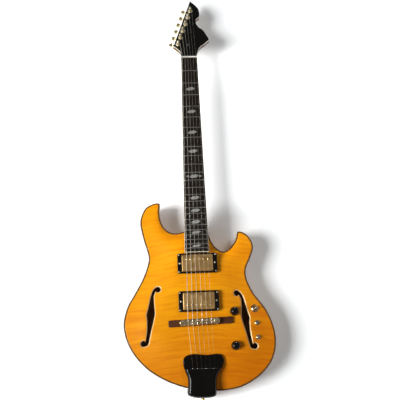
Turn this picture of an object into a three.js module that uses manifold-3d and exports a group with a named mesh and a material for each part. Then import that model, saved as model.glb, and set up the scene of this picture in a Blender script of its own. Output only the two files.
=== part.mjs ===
// Thin-bodied electric guitar with an arched maple top, two f-holes and a carved black tailpiece.
// It stands upright: X to the viewer's right (treble side), Y to the back, Z along the strings.
// The origin is on the centre line at the nut, on the plane where the neck meets the fingerboard.
import * as THREE from 'three';
import { mergeVertices } from 'three/addons/utils/BufferGeometryUtils.js';
import Module from 'manifold-3d';

const wasm = await Module();
wasm.setup();

// Driving dimensions, in millimetres

// clearances and cuts
const FIT_GAP = 0.3;
const CUT_OVERRUN = 6;
const OUTLINE_TOLERANCE = 0.5;
const FINE_TOLERANCE = 0.3;
const EDGE_BREAK = 0.8;

// fingerboard; the scale length and the bridge's place follow from it
const FRET_COUNT = 24;
const BOARD_LENGTH = 495.5;
const BOARD_PAST_FRETS = 9.5;
const SCALE_LENGTH = (BOARD_LENGTH - BOARD_PAST_FRETS) / (1 - 2 ** (-FRET_COUNT / 12));
const BRIDGE_SETBACK = 2.4;
const BRIDGE_FROM_NUT = SCALE_LENGTH + BRIDGE_SETBACK;
const NUT_WIDTH = 40.5;
const NUT_THICKNESS = 5;
const NUT_RISE = 1.4;
const NUT_CROWN = 3;
const BOARD_END_WIDTH = 55.5;
const BOARD_THICKNESS = 6;
const BOARD_RADIUS = 350;
const BOARD_BINDING = 1.5;
const FRET_WIDTH = 2.4;
const FRET_HEIGHT = 1.1;

// neck and heel
const NECK_DEPTH_AT_NUT = 14.5;
const NECK_DEPTH_AT_HEEL = 17;
const VOLUTE_DEPTH = 17;
const VOLUTE_RUN = 25;
const HEEL_DEPTH = 49;
const HEEL_WIDTH = 51;
const HEEL_RUN = 62;
const TONGUE_WIDTH = 44;
const TONGUE_DEPTH = 30;
const ROD_WIDTH = 6;
const ROD_DEPTH = 9;
const ROD_INSET = 12;
const ROD_END_INSET = 78.5;
const ROD_LENGTH = BOARD_LENGTH - ROD_INSET - ROD_END_INSET;

// headstock
const HEAD_PITCH = THREE.MathUtils.degToRad(9);
const HEAD_DROP = 0.5;
const HEAD_LENGTH = 188;
const HEAD_WIDTH = 92.4;
const HEAD_THICKNESS = 13.5;
const FACING_THICKNESS = 1.6;

// tuning machines
const POST_PITCH = 23.3;
const POST_LINE_ANGLE = THREE.MathUtils.degToRad(17.4);
const FIRST_POST_X = -26.3;
const FIRST_POST_RISE = 41.5;
const POST_RADIUS = 3;
const POST_HEIGHT = 14;
const WINDING_RADIUS = 3.9;
const WINDING_PITCH = 1.9;
const WINDING_COUNT = 2;
const FERRULE_RADIUS = 6.3;
const FERRULE_HEIGHT = 1.8;
const BARREL_RADIUS = 4.8;
const HOUSING_LENGTH = 21;
const HOUSING_WIDTH = 16;
const HOUSING_DEPTH = 11;
const HOUSING_ROUNDING = 3;
const WHEEL_RADIUS = 5.2;
const WORM_RADIUS = 2.3;
const SHAFT_RADIUS = 1.7;
const BUTTON_REACH = 22;
const BUTTON_LENGTH = 11;
const BUTTON_WIDTH = 15;
const BUTTON_THICKNESS = 6.5;

// body
const BODY_WIDTH = 336.5;
const BODY_LENGTH = 424.6;
const BRIDGE_SHARE = 0.34291;
const BODY_END_FROM_NUT = BRIDGE_FROM_NUT + BRIDGE_SHARE * BODY_LENGTH;
const BODY_EDGE_Y = 17;
const ARCH_HEIGHT = 11;
const ARCH_RUN = 76;
const TOP_EDGE_THICKNESS = 4.5;
const TOP_WALL = 6;
const RIM_DEPTH = 39;
const BACK_WALL = 6;
const BACK_ROUNDING = 6;
const EDGE_STRIP_WIDTH = 1.6;
const CUTAWAY_RUN = 26;
const ARCH_CELL = 20;
const CHAMBER_CELL = 32;
const RIM_WALL = 10;

// f-holes
const F_HOLE_LENGTH = 130;
const F_TOP_SCROLL_RADIUS = 6;
const F_LOW_SCROLL_RADIUS = 6.3;

// strings, from the lowest to the highest
const STRING_DIAMETERS = [1.2, 0.95, 0.75, 0.5, 0.4, 0.3];
const STRING_SPREAD_AT_NUT = 34;
const STRING_SPREAD_AT_BRIDGE = 52;
const STRING_SPREAD_AT_TAIL = 46;
const STRING_HEIGHT_AT_NUT = 7.8;
const STRING_HEIGHT_AT_BRIDGE = 10.5;
const STRING_HEIGHT_AT_TAIL = 2.5;
const STRING_TAIL_OFFSET = 5.5;
const STRING_HOLE_RADIUS = 1.2;
const STRING_HOLE_DEPTH = 4;

// pickups
const RING_WIDTH = 90;
const RING_LENGTH = 45;
const RING_ROUNDING = 4;
const RING_HOLE_CLEARANCE = 0.5;
const COVER_WIDTH = 70;
const COVER_LENGTH = 38;
const COVER_ROUNDING = 3;
const COVER_DEPTH = 17;
const PLATE_WIDTH = 83;
const PLATE_LENGTH = 14;
const PLATE_THICKNESS = 1.6;
const PICKUP_CAVITY_Y = 26;
const CAVITY_CLEARANCE = 1.5;
const POLE_SPREAD = 50;
const POLE_OFFSET = 8.5;
const POLE_RADIUS = 2.2;
const POLE_HEIGHT = 0.5;
const NECK_PICKUP_PAST_BOARD = 24.3;
const NECK_PICKUP_FROM_NUT = BOARD_LENGTH + NECK_PICKUP_PAST_BOARD;
const NECK_RING_Y = -2.6;
const NECK_COVER_Y = -6.6;
const BRIDGE_PICKUP_SPACING = 45.4;
const BRIDGE_PICKUP_FROM_NUT = BRIDGE_FROM_NUT - BRIDGE_PICKUP_SPACING;
const BRIDGE_RING_Y = -3.4;
const BRIDGE_COVER_Y = -7.2;

// bridge
const BRIDGE_CENTRE_X = 0.6;
const BRIDGE_SLANT = THREE.MathUtils.degToRad(1.65);
const BASE_LENGTH = 143;
const BASE_WIDTH = 15;
const BASE_ROUNDING = 4;
const BASE_FRONT_Y = 1;
const BASE_CENTRE_X = 2.7;
const BAR_LENGTH = 88;
const BAR_WIDTH = 12.4;
const BAR_FRONT_Y = -9;
const BAR_DEPTH = 5.7;
const CHANNEL_LENGTH = 63;
const CHANNEL_WIDTH = 9;
const CHANNEL_DEPTH = 3.6;
const STUD_SPREAD = 74;
const STUD_RADIUS = 2.2;
const THUMBWHEEL_RADIUS = 7;
const THUMBWHEEL_THICKNESS = 2;
const STUD_LENGTH = 12.6;
const SADDLE_WIDTH = 6.6;
const SADDLE_LENGTH = 3.4;
const SADDLE_RIDGE = 0.6;
const SADDLE_STAGGERS = [-0.9, 0.1, 0.9, -0.7, 0, 0.8];

// tailpiece
const TAIL_WIDTH = 88;
const TAIL_LENGTH = 92;
const TAIL_PAST_BODY = 13.3;
const TAIL_END_FROM_NUT = BODY_END_FROM_NUT + TAIL_PAST_BODY;
const TAIL_STEP_FROM_END = 60.5;
const TAIL_DECK_Y = -6;
const TAIL_LEDGE_Y = -0.6;
const TAIL_NOSE_Y = 1.5;
const TAIL_ARCH_GAP = 0.6;
const TAIL_HOOK_Y = 47;
const TAIL_BEVEL = 5;

// strap buttons and jack
const STRAP_HEAD_RADIUS = 7;
const STRAP_WAIST_RADIUS = 3.6;
const STRAP_FOOT_RADIUS = 5.6;
const STRAP_HEIGHT = 10;
const STRAP_FLANGE = 2;
const STRAP_SCREW_RADIUS = 1.8;
const STRAP_SCREW_LENGTH = 14;
const TAIL_STRAP_X = 2;
const TAIL_STRAP_Y = 34;
const HEEL_STRAP_RISE = 7;
const HEEL_CAP = 15;
const JACK_RADIUS = 7.2;
const JACK_WASHER_RADIUS = 8.2;
const JACK_SINK = 1;
const JACK_NUT_THICKNESS = 2.4;
const JACK_BARREL_RADIUS = 5.6;
const JACK_BORE_RADIUS = 3.3;
const JACK_LENGTH = 24;
const JACK_SHARE = 0.235;

// controls
const KNOB_RADIUS = 9;
const KNOB_HEIGHT = 15;
const KNOB_SKIRT = 2;
const KNOB_DOME = 5.2;
const KNOB_TOP_RADIUS = 4;
const KNOB_BORE_DEPTH = 10;
const POT_RADIUS = 12;
const POT_DEPTH = 9;
const POT_BUSH_RADIUS = 3.8;
const POT_SHAFT_RADIUS = 3;
const SEAT_CLEARANCE = 3;
const SWITCH_BUSH_RADIUS = 5.6;
const SWITCH_NUT_RADIUS = 8;
const SWITCH_LEVER_LENGTH = 14;
const SWITCH_BODY = 18;
const SWITCH_BODY_SHARE = 0.7;
const SWITCH_LEVER_RADIUS = 2.2;
const MINI_BUSH_RADIUS = 3;
const MINI_NUT_RADIUS = 5;
const MINI_LEVER_LENGTH = 10;
const MINI_BODY = 12;
const MINI_LEVER_RADIUS = 1.3;

// Outline shares

// of the body's width across and of its length up from the lower end
const BODY_OUTER_SHARES = [
  [-0.244, 0.997], [-0.276, 1], [-0.327, 0.984], [-0.360, 0.954], [-0.382, 0.890],
  [-0.363, 0.803], [-0.329, 0.704], [-0.336, 0.652], [-0.373, 0.575], [-0.425, 0.502],
  [-0.473, 0.436], [-0.499, 0.353], [-0.484, 0.273], [-0.434, 0.193], [-0.348, 0.118],
  [-0.232, 0.059], [-0.098, 0.019], [0.042, 0.002], [0.160, 0], [0.273, 0.018],
  [0.386, 0.068], [0.464, 0.135], [0.499, 0.214], [0.495, 0.301], [0.453, 0.394],
  [0.374, 0.485], [0.333, 0.563], [0.333, 0.619], [0.366, 0.676], [0.392, 0.740],
  [0.364, 0.796], [0.321, 0.822], [0.288, 0.824],
];
const RIGHT_CUTAWAY_SHARES = [
  [0.288, 0.824], [0.281, 0.796], [0.266, 0.768], [0.238, 0.740], [0.208, 0.721],
  [0.178, 0.716], [0.149, 0.728], [0.122, 0.750], [0.100, 0.782], [0.089, 0.813], [0.085, 0.833],
];
const LEFT_CUTAWAY_SHARES = [
  [-0.083, 0.833], [-0.143, 0.825], [-0.190, 0.837], [-0.226, 0.869], [-0.244, 0.909],
  [-0.248, 0.954], [-0.244, 0.997],
];
const LEFT_CHAMBER_SHARES = [
  [-0.178, 0.740], [-0.250, 0.815], [-0.309, 0.874], [-0.348, 0.862], [-0.327, 0.787],
  [-0.294, 0.697], [-0.306, 0.641], [-0.363, 0.544], [-0.434, 0.438], [-0.467, 0.349],
  [-0.443, 0.254], [-0.377, 0.174], [-0.282, 0.115], [-0.178, 0.071],
];
const RIGHT_CHAMBER_SHARES = [
  [0.178, 0.678], [0.256, 0.702], [0.309, 0.758], [0.351, 0.768], [0.345, 0.697],
  [0.300, 0.626], [0.303, 0.556], [0.362, 0.471], [0.432, 0.382], [0.466, 0.287],
  [0.464, 0.217], [0.419, 0.127], [0.333, 0.071], [0.250, 0.042], [0.178, 0.033],
];
const F_LEFT_SHARES = [-0.31947, 0.39261];
const F_RIGHT_SHARES = [0.30817, 0.3594];
const VOLUME_SHARES = [0.23299, 0.3919];
const TONE_SHARES = [0.22942, 0.21785];
const SWITCH_SHARES = [0.37266, 0.40367];
const MINI_SHARES = [[0.38128, 0.32925], [0.38128, 0.2553]];

// of the headstock's width across and of its length up from the nut
const HEAD_RIGHT_FOOT_SHARES = [
  [0.219, 0], [0.221, 0.054], [0.259, 0.124], [0.334, 0.189], [0.452, 0.238], [0.577, 0.301],
];
const HEAD_WING_SHARES = [
  [0.577, 0.301], [0.555, 0.338], [0.483, 0.418], [0.407, 0.480], [0.297, 0.532],
  [0.244, 0.601], [0.249, 0.667], [0.298, 0.695],
];
const HEAD_UPPER_SHARES = [
  [0.298, 0.695], [0.342, 0.719], [0.351, 0.789], [0.328, 0.861], [0.238, 0.927], [0.105, 1],
];
const HEAD_LEFT_FOOT_SHARES = [
  [-0.395, 0.221], [-0.423, 0.209], [-0.311, 0.152], [-0.229, 0.099], [-0.219, 0.043], [-0.219, 0],
];

// of the f-hole's length, from the middle of its two nicks
const F_UPPER_OUTER_SHARES = [
  [0.132, 0.465], [0.085, 0.450], [0.035, 0.385], [0.004, 0.292], [-0.023, 0.177],
  [-0.046, 0.077], [-0.073, -0.002],
];
const F_LOWER_OUTER_SHARES = [[-0.073, -0.002], [-0.060, -0.092], [-0.063, -0.262], [-0.092, -0.446]];
const F_LOWER_INNER_SHARES = [
  [-0.115, -0.528], [-0.058, -0.504], [-0.033, -0.431], [0, -0.285], [0.037, -0.146], [0.073, 0.002],
];
const F_UPPER_INNER_SHARES = [
  [0.073, 0.002], [0.064, 0.108], [0.057, 0.208], [0.058, 0.315], [0.090, 0.388],
];
const F_TOP_SCROLL_SHARES = [0.132, 0.418];
const F_LOW_SCROLL_SHARES = [-0.129, -0.482];

// of the tailpiece's width across and of its length up from its lower end
const TAIL_OUTLINE_SHARES = [
  [-0.214, 0.995], [0.115, 0.962], [0.403, 0.980], [0.520, 0.935], [0.556, 0.820],
  [0.525, 0.678], [0.438, 0.563], [0.378, 0.454], [0.355, 0.326], [0.347, 0.100],
  [0.288, 0.022], [0.070, 0], [-0.180, 0.018], [-0.340, 0.075], [-0.361, 0.150],
  [-0.342, 0.300], [-0.345, 0.440], [-0.393, 0.576], [-0.436, 0.710], [-0.446, 0.820],
  [-0.405, 0.935],
];

// Helpers

function fromNut(distance) {
  return -distance;
}

// a triangle mesh as a solid, turned right side out if its faces point in
function solid(geometry) {
  const bare = geometry.index ? geometry.toNonIndexed() : geometry.clone();
  bare.deleteAttribute('normal');
  bare.deleteAttribute('uv');
  const merged = mergeVertices(bare, 1e-5);
  const points = merged.attributes.position.array;
  const corners = Array.from(merged.index.array);
  let volume = 0;
  const a = new THREE.Vector3();
  const b = new THREE.Vector3();
  const c = new THREE.Vector3();
  for (let i = 0; i < corners.length; i += 3) {
    a.fromArray(points, corners[i] * 3);
    b.fromArray(points, corners[i + 1] * 3);
    c.fromArray(points, corners[i + 2] * 3);
    volume += a.dot(b.cross(c));
  }
  if (volume < 0) corners.reverse();
  const triVerts = [];
  for (let i = 0; i < corners.length; i += 3) {
    const [p, q, r] = corners.slice(i, i + 3);
    if (p !== q && q !== r && r !== p) triVerts.push(p, q, r);
  }
  return new wasm.Manifold(new wasm.Mesh({
    numProp: 3,
    vertProperties: new Float32Array(points),
    triVerts: new Uint32Array(triVerts),
  }));
}

function geometryOf(body) {
  const mesh = body.getMesh();
  const geometry = new THREE.BufferGeometry();
  geometry.setAttribute('position', new THREE.BufferAttribute(new Float32Array(mesh.vertProperties), 3));
  geometry.setIndex(new THREE.BufferAttribute(new Uint32Array(mesh.triVerts), 1));
  geometry.computeVertexNormals();
  return geometry;
}

function addPiece(group, name, body, material) {
  const piece = new THREE.Mesh(geometryOf(body), material);
  piece.name = name;
  group.add(piece);
  return piece;
}

function shapeOf(points) {
  return new THREE.Shape(points.map(([x, z]) => new THREE.Vector2(x, z)));
}

// an outline drawn in X and Z, filled from frontY to backY
function plate(shape, frontY, backY, curveSegments = 6) {
  const geometry = new THREE.ExtrudeGeometry(shape, {
    depth: backY - frontY,
    bevelEnabled: false,
    curveSegments,
  });
  geometry.rotateX(Math.PI / 2);
  geometry.translate(0, backY, 0);
  return solid(geometry);
}

function box(width, depth, height, x, y, z) {
  const geometry = new THREE.BoxGeometry(width, depth, height);
  geometry.translate(x, y, z);
  return solid(geometry);
}

// a profile of radius and height turned about an axis that points to the front
function turned(profile, segments) {
  const geometry = new THREE.LatheGeometry(profile.map(([r, h]) => new THREE.Vector2(r, h)), segments);
  geometry.rotateX(Math.PI);
  return solid(geometry);
}

function cylinder(radius, frontY, backY, segments = 20) {
  const profile = [[0, -backY], [radius, -backY], [radius, -frontY], [0, -frontY]];
  return turned(profile, segments);
}

function roundedRectangle(width, height, radius) {
  const w = width / 2 - radius;
  const h = height / 2 - radius;
  const shape = new THREE.Shape();
  shape.absarc(w, h, radius, 0, Math.PI / 2);
  shape.absarc(-w, h, radius, Math.PI / 2, Math.PI);
  shape.absarc(-w, -h, radius, Math.PI, Math.PI * 3 / 2);
  shape.absarc(w, -h, radius, Math.PI * 3 / 2, Math.PI * 2);
  return shape;
}

function distanceToSegment([ax, az], [bx, bz], x, z) {
  const lengthSquared = (bx - ax) ** 2 + (bz - az) ** 2;
  const along = lengthSquared > 0 ? ((x - ax) * (bx - ax) + (z - az) * (bz - az)) / lengthSquared : 0;
  const t = THREE.MathUtils.clamp(along, 0, 1);
  return Math.hypot(x - ax - t * (bx - ax), z - az - t * (bz - az));
}

// the line with only as many of its points as keep it within a tolerance
function simplified(points, tolerance) {
  const first = points[0];
  const end = points[points.length - 1];
  const distances = points.map(([x, z]) => distanceToSegment(first, end, x, z));
  const farthest = Math.max(...distances);
  if (farthest <= tolerance) return [first, end];
  const at = distances.indexOf(farthest);
  const head = simplified(points.slice(0, at + 1), tolerance);
  return [...head.slice(0, -1), ...simplified(points.slice(at), tolerance)];
}

// a smooth line through points
function smooth(points, tolerance) {
  const curve = new THREE.SplineCurve(points.map(([x, z]) => new THREE.Vector2(x, z)));
  const fine = curve.getSpacedPoints(points.length * 8).map((p) => [p.x, p.y]);
  return simplified(fine, tolerance);
}

// smooth lines joined at corners into one closed outline
function joined(...lines) {
  const points = [];
  for (const line of lines) {
    for (const point of line) {
      const last = points[points.length - 1];
      if (!last || Math.hypot(point[0] - last[0], point[1] - last[1]) > 1e-3) points.push(point);
    }
  }
  const first = points[0];
  const end = points[points.length - 1];
  if (Math.hypot(first[0] - end[0], first[1] - end[1]) < 1e-3) points.pop();
  return points;
}

// the outline moved in by a distance along its normals
function inset(points, distance) {
  const clockwise = THREE.ShapeUtils.isClockWise(points.map(([x, z]) => new THREE.Vector2(x, z)));
  const side = clockwise ? -1 : 1;
  const total = points.length;
  return points.map(([x, z], i) => {
    const before = points[(i + total - 1) % total];
    const after = points[(i + 1) % total];
    const inward = new THREE.Vector2(x - before[0], z - before[1]).normalize();
    const outward = new THREE.Vector2(after[0] - x, after[1] - z).normalize();
    const normal = new THREE.Vector2(-(inward.y + outward.y), inward.x + outward.x).normalize();
    const miter = Math.max(0.5, Math.abs(normal.dot(new THREE.Vector2(-outward.y, outward.x))));
    return [x + side * normal.x * distance / miter, z + side * normal.y * distance / miter];
  });
}

function scaled(shares, width, height, x = 0, z = 0) {
  return shares.map(([u, v]) => [x + u * width, z + v * height]);
}

// rings of equal point count, one behind the other, closed by the cap triangles given
function stacked(rings, cap) {
  const size = rings[0].length;
  const last = (rings.length - 1) * size;
  const index = [];
  for (let r = 0; r + 1 < rings.length; r += 1) {
    for (let i = 0; i < size; i += 1) {
      const a = r * size + i;
      const b = r * size + (i + 1) % size;
      index.push(a, b, b + size, a, b + size, a + size);
    }
  }
  for (const [a, b, c] of cap) index.push(a, c, b, last + a, last + b, last + c);
  const geometry = new THREE.BufferGeometry();
  geometry.setAttribute('position', new THREE.BufferAttribute(new Float32Array(rings.flat(2)), 3));
  geometry.setIndex(index);
  return solid(geometry);
}

// a loft through convex sections
function loft(rings) {
  const cap = [];
  for (let i = 1; i + 1 < rings[0].length; i += 1) cap.push([0, i, i + 1]);
  return stacked(rings, cap);
}

// a loft through outlines in X and Z of any shape, each given with its own depth
function stackedOutlines(layers) {
  const contour = layers[0].points.map(([x, z]) => new THREE.Vector2(x, z));
  const turn = Math.sign(THREE.ShapeUtils.area(contour));
  const cap = THREE.ShapeUtils.triangulateShape(contour, []).map((corners) => {
    const area = THREE.ShapeUtils.area(corners.map((i) => contour[i]));
    return Math.sign(area) === turn ? corners : [...corners].reverse();
  });
  return stacked(layers.map(({ points, y }) => points.map(([x, z]) => [x, y, z])), cap);
}

function finish(color, roughness, metalness) {
  return new THREE.MeshStandardMaterial({ color, roughness, metalness });
}

const amberMaple = finish(0xe08a12, 0.25, 0);
const redMahogany = finish(0x8a4a22, 0.4, 0);
const neckWood = finish(0x7c4524, 0.45, 0);
const darkStrip = finish(0x2a1a10, 0.4, 0);
const ebony = finish(0x17120f, 0.45, 0);
const blackGloss = finish(0x0b0b0c, 0.15, 0);
const bone = finish(0xefe8d8, 0.4, 0);
const rosewood = finish(0x4a231a, 0.5, 0);
const gold = finish(0xc79a45, 0.3, 1);
const agedNickel = finish(0xa89a7c, 0.35, 1);
const nickel = finish(0xc4c2bb, 0.3, 1);
const steel = finish(0x8c8f92, 0.4, 1);
const blackPlastic = finish(0x101011, 0.35, 0);

const guitar = new THREE.Group();
guitar.name = 'guitar';

// Body

function bodyLine(shares) {
  return smooth(scaled(shares, BODY_WIDTH, BODY_LENGTH, 0, -BODY_END_FROM_NUT), OUTLINE_TOLERANCE);
}

const outerLine = bodyLine(BODY_OUTER_SHARES);
const rightCutaway = bodyLine(RIGHT_CUTAWAY_SHARES);
const leftCutaway = bodyLine(LEFT_CUTAWAY_SHARES);
const bodyOutline = joined(outerLine, rightCutaway, leftCutaway);
const topInnerY = BODY_EDGE_Y + TOP_EDGE_THICKNESS;
const bodyFrontY = topInnerY + FIT_GAP;
const bodyBackY = bodyFrontY + RIM_DEPTH;
const archY = BODY_EDGE_Y - ARCH_HEIGHT;

function isInBody(x, z) {
  let inside = false;
  bodyOutline.forEach(([bx, bz], i) => {
    const [ax, az] = bodyOutline[(i + bodyOutline.length - 1) % bodyOutline.length];
    if ((az > z) !== (bz > z) && x < ax + (bx - ax) * (z - az) / (bz - az)) inside = !inside;
  });
  return inside;
}

function distanceTo(line, x, z) {
  let nearest = Infinity;
  for (let i = 0; i + 1 < line.length; i += 1) {
    nearest = Math.min(nearest, distanceToSegment(line[i], line[i + 1], x, z));
  }
  return nearest;
}

// front surface of the arched top: flat at the rim, rising in a smooth step to the middle,
// and rising faster from the cutaways
function archSurfaceY(x, z) {
  if (!isInBody(x, z)) return BODY_EDGE_Y;
  const fromOuter = distanceTo(outerLine, x, z) / ARCH_RUN;
  const fromCutaways = Math.min(distanceTo(rightCutaway, x, z), distanceTo(leftCutaway, x, z)) / CUTAWAY_RUN;
  const rise = THREE.MathUtils.smoothstep(Math.min(fromOuter, fromCutaways), 0, 1);
  return BODY_EDGE_Y - ARCH_HEIGHT * rise;
}

// the arch as a solid from its surface, moved back by a shift, to a flat back
function archSolid(shift, backY, cell = ARCH_CELL) {
  const columns = Math.ceil(BODY_WIDTH / 2 / cell) + 1;
  const rows = Math.ceil(BODY_LENGTH / cell) + 2;
  const across = 2 * columns + 1;
  const positions = [];
  const index = [];
  for (let layer = 0; layer < 2; layer += 1) {
    for (let r = 0; r <= rows; r += 1) {
      for (let c = -columns; c <= columns; c += 1) {
        const x = c * cell;
        const z = (r - 1) * cell - BODY_END_FROM_NUT;
        positions.push(x, layer === 0 ? archSurfaceY(x, z) + shift : backY, z);
      }
    }
  }
  const half = across * (rows + 1);
  for (let r = 0; r < rows; r += 1) {
    for (let c = 0; c + 1 < across; c += 1) {
      const a = r * across + c;
      const b = a + across;
      const rising = (r >= rows / 2) === (c >= columns);
      const front = rising ? [a, a + 1, b + 1, a, b + 1, b] : [a, a + 1, b, a + 1, b + 1, b];
      index.push(...front);
      for (let k = 0; k < 6; k += 3) {
        index.push(front[k] + half, front[k + 2] + half, front[k + 1] + half);
      }
    }
  }
  const rim = [];
  for (let c = 0; c + 1 < across; c += 1) rim.push([c, c + 1]);
  for (let r = 0; r < rows; r += 1) rim.push([(r + 1) * across - 1, (r + 2) * across - 1]);
  for (let c = across - 1; c > 0; c -= 1) rim.push([rows * across + c, rows * across + c - 1]);
  for (let r = rows; r > 0; r -= 1) rim.push([r * across, (r - 1) * across]);
  for (const [p, q] of rim) index.push(q, p, p + half, q, p + half, q + half);
  const geometry = new THREE.BufferGeometry();
  geometry.setAttribute('position', new THREE.BufferAttribute(new Float32Array(positions), 3));
  geometry.setIndex(index);
  return solid(geometry);
}

const outsideBackY = bodyBackY + CUT_OVERRUN;
const archSeat = archSolid(-FIT_GAP, outsideBackY);

const leftChamber = bodyLine(LEFT_CHAMBER_SHARES);
const rightChamber = bodyLine(RIGHT_CHAMBER_SHARES);

// the neck's tongue and the pickups leave their room in the body
const tongueStart = fromNut(BODY_END_FROM_NUT - BODY_LENGTH * LEFT_CUTAWAY_SHARES[0][1]);
const boardEnd = fromNut(BOARD_LENGTH);
const heelStrapZ = tongueStart + HEEL_STRAP_RISE;
const tonguePocket = box(
  TONGUE_WIDTH + 2 * FIT_GAP,
  TONGUE_DEPTH + FIT_GAP + CUT_OVERRUN + ARCH_HEIGHT,
  tongueStart - boardEnd + CUT_OVERRUN + FIT_GAP,
  0,
  (TONGUE_DEPTH + FIT_GAP - CUT_OVERRUN - ARCH_HEIGHT) / 2,
  (tongueStart + boardEnd + CUT_OVERRUN - FIT_GAP) / 2,
);

function pickupRoom(distance) {
  const width = PLATE_WIDTH + 2 * CAVITY_CLEARANCE;
  const length = COVER_LENGTH + 2 * CAVITY_CLEARANCE;
  const depth = PICKUP_CAVITY_Y + CUT_OVERRUN;
  return box(width, depth, length, 0, PICKUP_CAVITY_Y - depth / 2, fromNut(distance));
}

// a place on the body from its shares of the width across and of the length up
function bodyPlace([across, up]) {
  return { x: across * BODY_WIDTH, z: up * BODY_LENGTH + fromNut(BODY_END_FROM_NUT) };
}

function fHole(centreShares, mirror) {
  const { x: centreX, z: centreZ } = bodyPlace(centreShares);
  const place = (shares) => scaled(shares, mirror * F_HOLE_LENGTH, F_HOLE_LENGTH, centreX, centreZ);
  const [topX, topZ] = place([F_TOP_SCROLL_SHARES])[0];
  const [lowX, lowZ] = place([F_LOW_SCROLL_SHARES])[0];
  const stem = joined(
    smooth(place(F_UPPER_OUTER_SHARES), FINE_TOLERANCE),
    smooth(place(F_LOWER_OUTER_SHARES), FINE_TOLERANCE),
    [[lowX, lowZ]],
    smooth(place(F_LOWER_INNER_SHARES), FINE_TOLERANCE),
    smooth(place(F_UPPER_INNER_SHARES), FINE_TOLERANCE),
    [[topX, topZ]],
  );
  const frontY = archY - CUT_OVERRUN;
  const backY = topInnerY + CUT_OVERRUN;
  return plate(shapeOf(stem), frontY, backY)
    .add(cylinder(F_TOP_SCROLL_RADIUS, frontY, backY, 12).translate([topX, 0, topZ]))
    .add(cylinder(F_LOW_SCROLL_RADIUS, frontY, backY, 12).translate([lowX, 0, lowZ]));
}

const controls = [
  { name: 'volume', ...bodyPlace(VOLUME_SHARES) },
  { name: 'tone', ...bodyPlace(TONE_SHARES) },
];
const minis = MINI_SHARES.map((shares, i) => ({ name: `mini_switch_${i + 1}`, ...bodyPlace(shares) }));
const pickupSwitch = { name: 'pickup_switch', ...bodyPlace(SWITCH_SHARES) };

// where a pot or a switch rests on the inside of the top
function seatBackY(place) {
  return Math.min(archSurfaceY(place.x, place.z) + TOP_WALL, topInnerY);
}

// a hole for a bushing, with a flat round seat behind it
function controlHole(place, bushRadius, seatRadius) {
  const bore = cylinder(bushRadius + FIT_GAP, archY - CUT_OVERRUN, topInnerY + CUT_OVERRUN, 12);
  const seat = cylinder(seatRadius, seatBackY(place), topInnerY + CUT_OVERRUN, 12);
  return bore.add(seat).translate([place.x, 0, place.z]);
}

function buildTop() {
  const outline = inset(bodyOutline, EDGE_STRIP_WIDTH + FIT_GAP);
  let top = archSolid(0, topInnerY).intersect(
    plate(shapeOf(outline), archY - CUT_OVERRUN, topInnerY + CUT_OVERRUN));
  const behindWall = archSolid(TOP_WALL, outsideBackY, CHAMBER_CELL);
  for (const chamber of [leftChamber, rightChamber]) {
    const hollow = plate(shapeOf(chamber), archY, topInnerY + CUT_OVERRUN).intersect(behindWall);
    top = top.subtract(hollow);
  }
  top = top.subtract(tonguePocket);
  top = top.subtract(pickupRoom(NECK_PICKUP_FROM_NUT)).subtract(pickupRoom(BRIDGE_PICKUP_FROM_NUT));
  top = top.subtract(fHole(F_LEFT_SHARES, 1)).subtract(fHole(F_RIGHT_SHARES, -1));
  for (const place of controls) {
    top = top.subtract(controlHole(place, POT_BUSH_RADIUS, POT_RADIUS + SEAT_CLEARANCE));
  }
  for (const place of minis) {
    top = top.subtract(controlHole(place, MINI_BUSH_RADIUS, MINI_BODY / 2 + SEAT_CLEARANCE));
  }
  return top.subtract(controlHole(pickupSwitch, SWITCH_BUSH_RADIUS, SWITCH_BODY / 2 + SEAT_CLEARANCE));
}

// back and sides in one carved block, hollow on both sides of its centre
function buildBack() {
  const layers = [{ points: bodyOutline, y: bodyFrontY }];
  const steps = 2;
  for (let i = 0; i <= steps; i += 1) {
    const turn = (i / steps) * Math.PI / 2;
    layers.push({
      points: inset(bodyOutline, BACK_ROUNDING * (1 - Math.cos(turn))),
      y: bodyBackY - BACK_ROUNDING * (1 - Math.sin(turn)),
    });
  }
  let back = stackedOutlines(layers);
  for (const chamber of [leftChamber, rightChamber]) {
    back = back.subtract(plate(shapeOf(chamber), bodyFrontY - CUT_OVERRUN, bodyBackY - BACK_WALL));
  }
  back = back.subtract(tonguePocket);
  back = back.subtract(pickupRoom(NECK_PICKUP_FROM_NUT)).subtract(pickupRoom(BRIDGE_PICKUP_FROM_NUT));
  return back;
}

function buildEdgeStrip() {
  const shape = shapeOf(bodyOutline);
  shape.holes.push(new THREE.Path(
    inset(bodyOutline, EDGE_STRIP_WIDTH).map(([x, z]) => new THREE.Vector2(x, z))));
  return plate(shape, BODY_EDGE_Y, topInnerY).subtract(tonguePocket);
}

const darkEdge = buildEdgeStrip();
addPiece(guitar, 'body_top', buildTop(), amberMaple);
addPiece(guitar, 'body_edge_strip', darkEdge, darkStrip);

// Neck, headstock and fingerboard

const headPivotZ = NUT_THICKNESS;
const head = new THREE.Group();
head.position.set(0, HEAD_DROP, headPivotZ);
head.rotation.x = -HEAD_PITCH;
guitar.add(head);

// a solid drawn in the headstock's own directions, moved to where the headstock is
function inHead(body) {
  return body.rotate([THREE.MathUtils.radToDeg(-HEAD_PITCH), 0, 0]).translate([0, HEAD_DROP, headPivotZ]);
}

function headLine(shares) {
  return smooth(scaled(shares, HEAD_WIDTH, HEAD_LENGTH), FINE_TOLERANCE);
}

const headOutline = joined(
  headLine(HEAD_RIGHT_FOOT_SHARES),
  headLine(HEAD_WING_SHARES),
  headLine(HEAD_UPPER_SHARES),
  headLine(HEAD_LEFT_FOOT_SHARES),
);

const posts = STRING_DIAMETERS.map((_, i) => ({
  x: FIRST_POST_X + i * POST_PITCH * Math.sin(POST_LINE_ANGLE),
  z: FIRST_POST_RISE + i * POST_PITCH * Math.cos(POST_LINE_ANGLE),
}));

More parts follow.
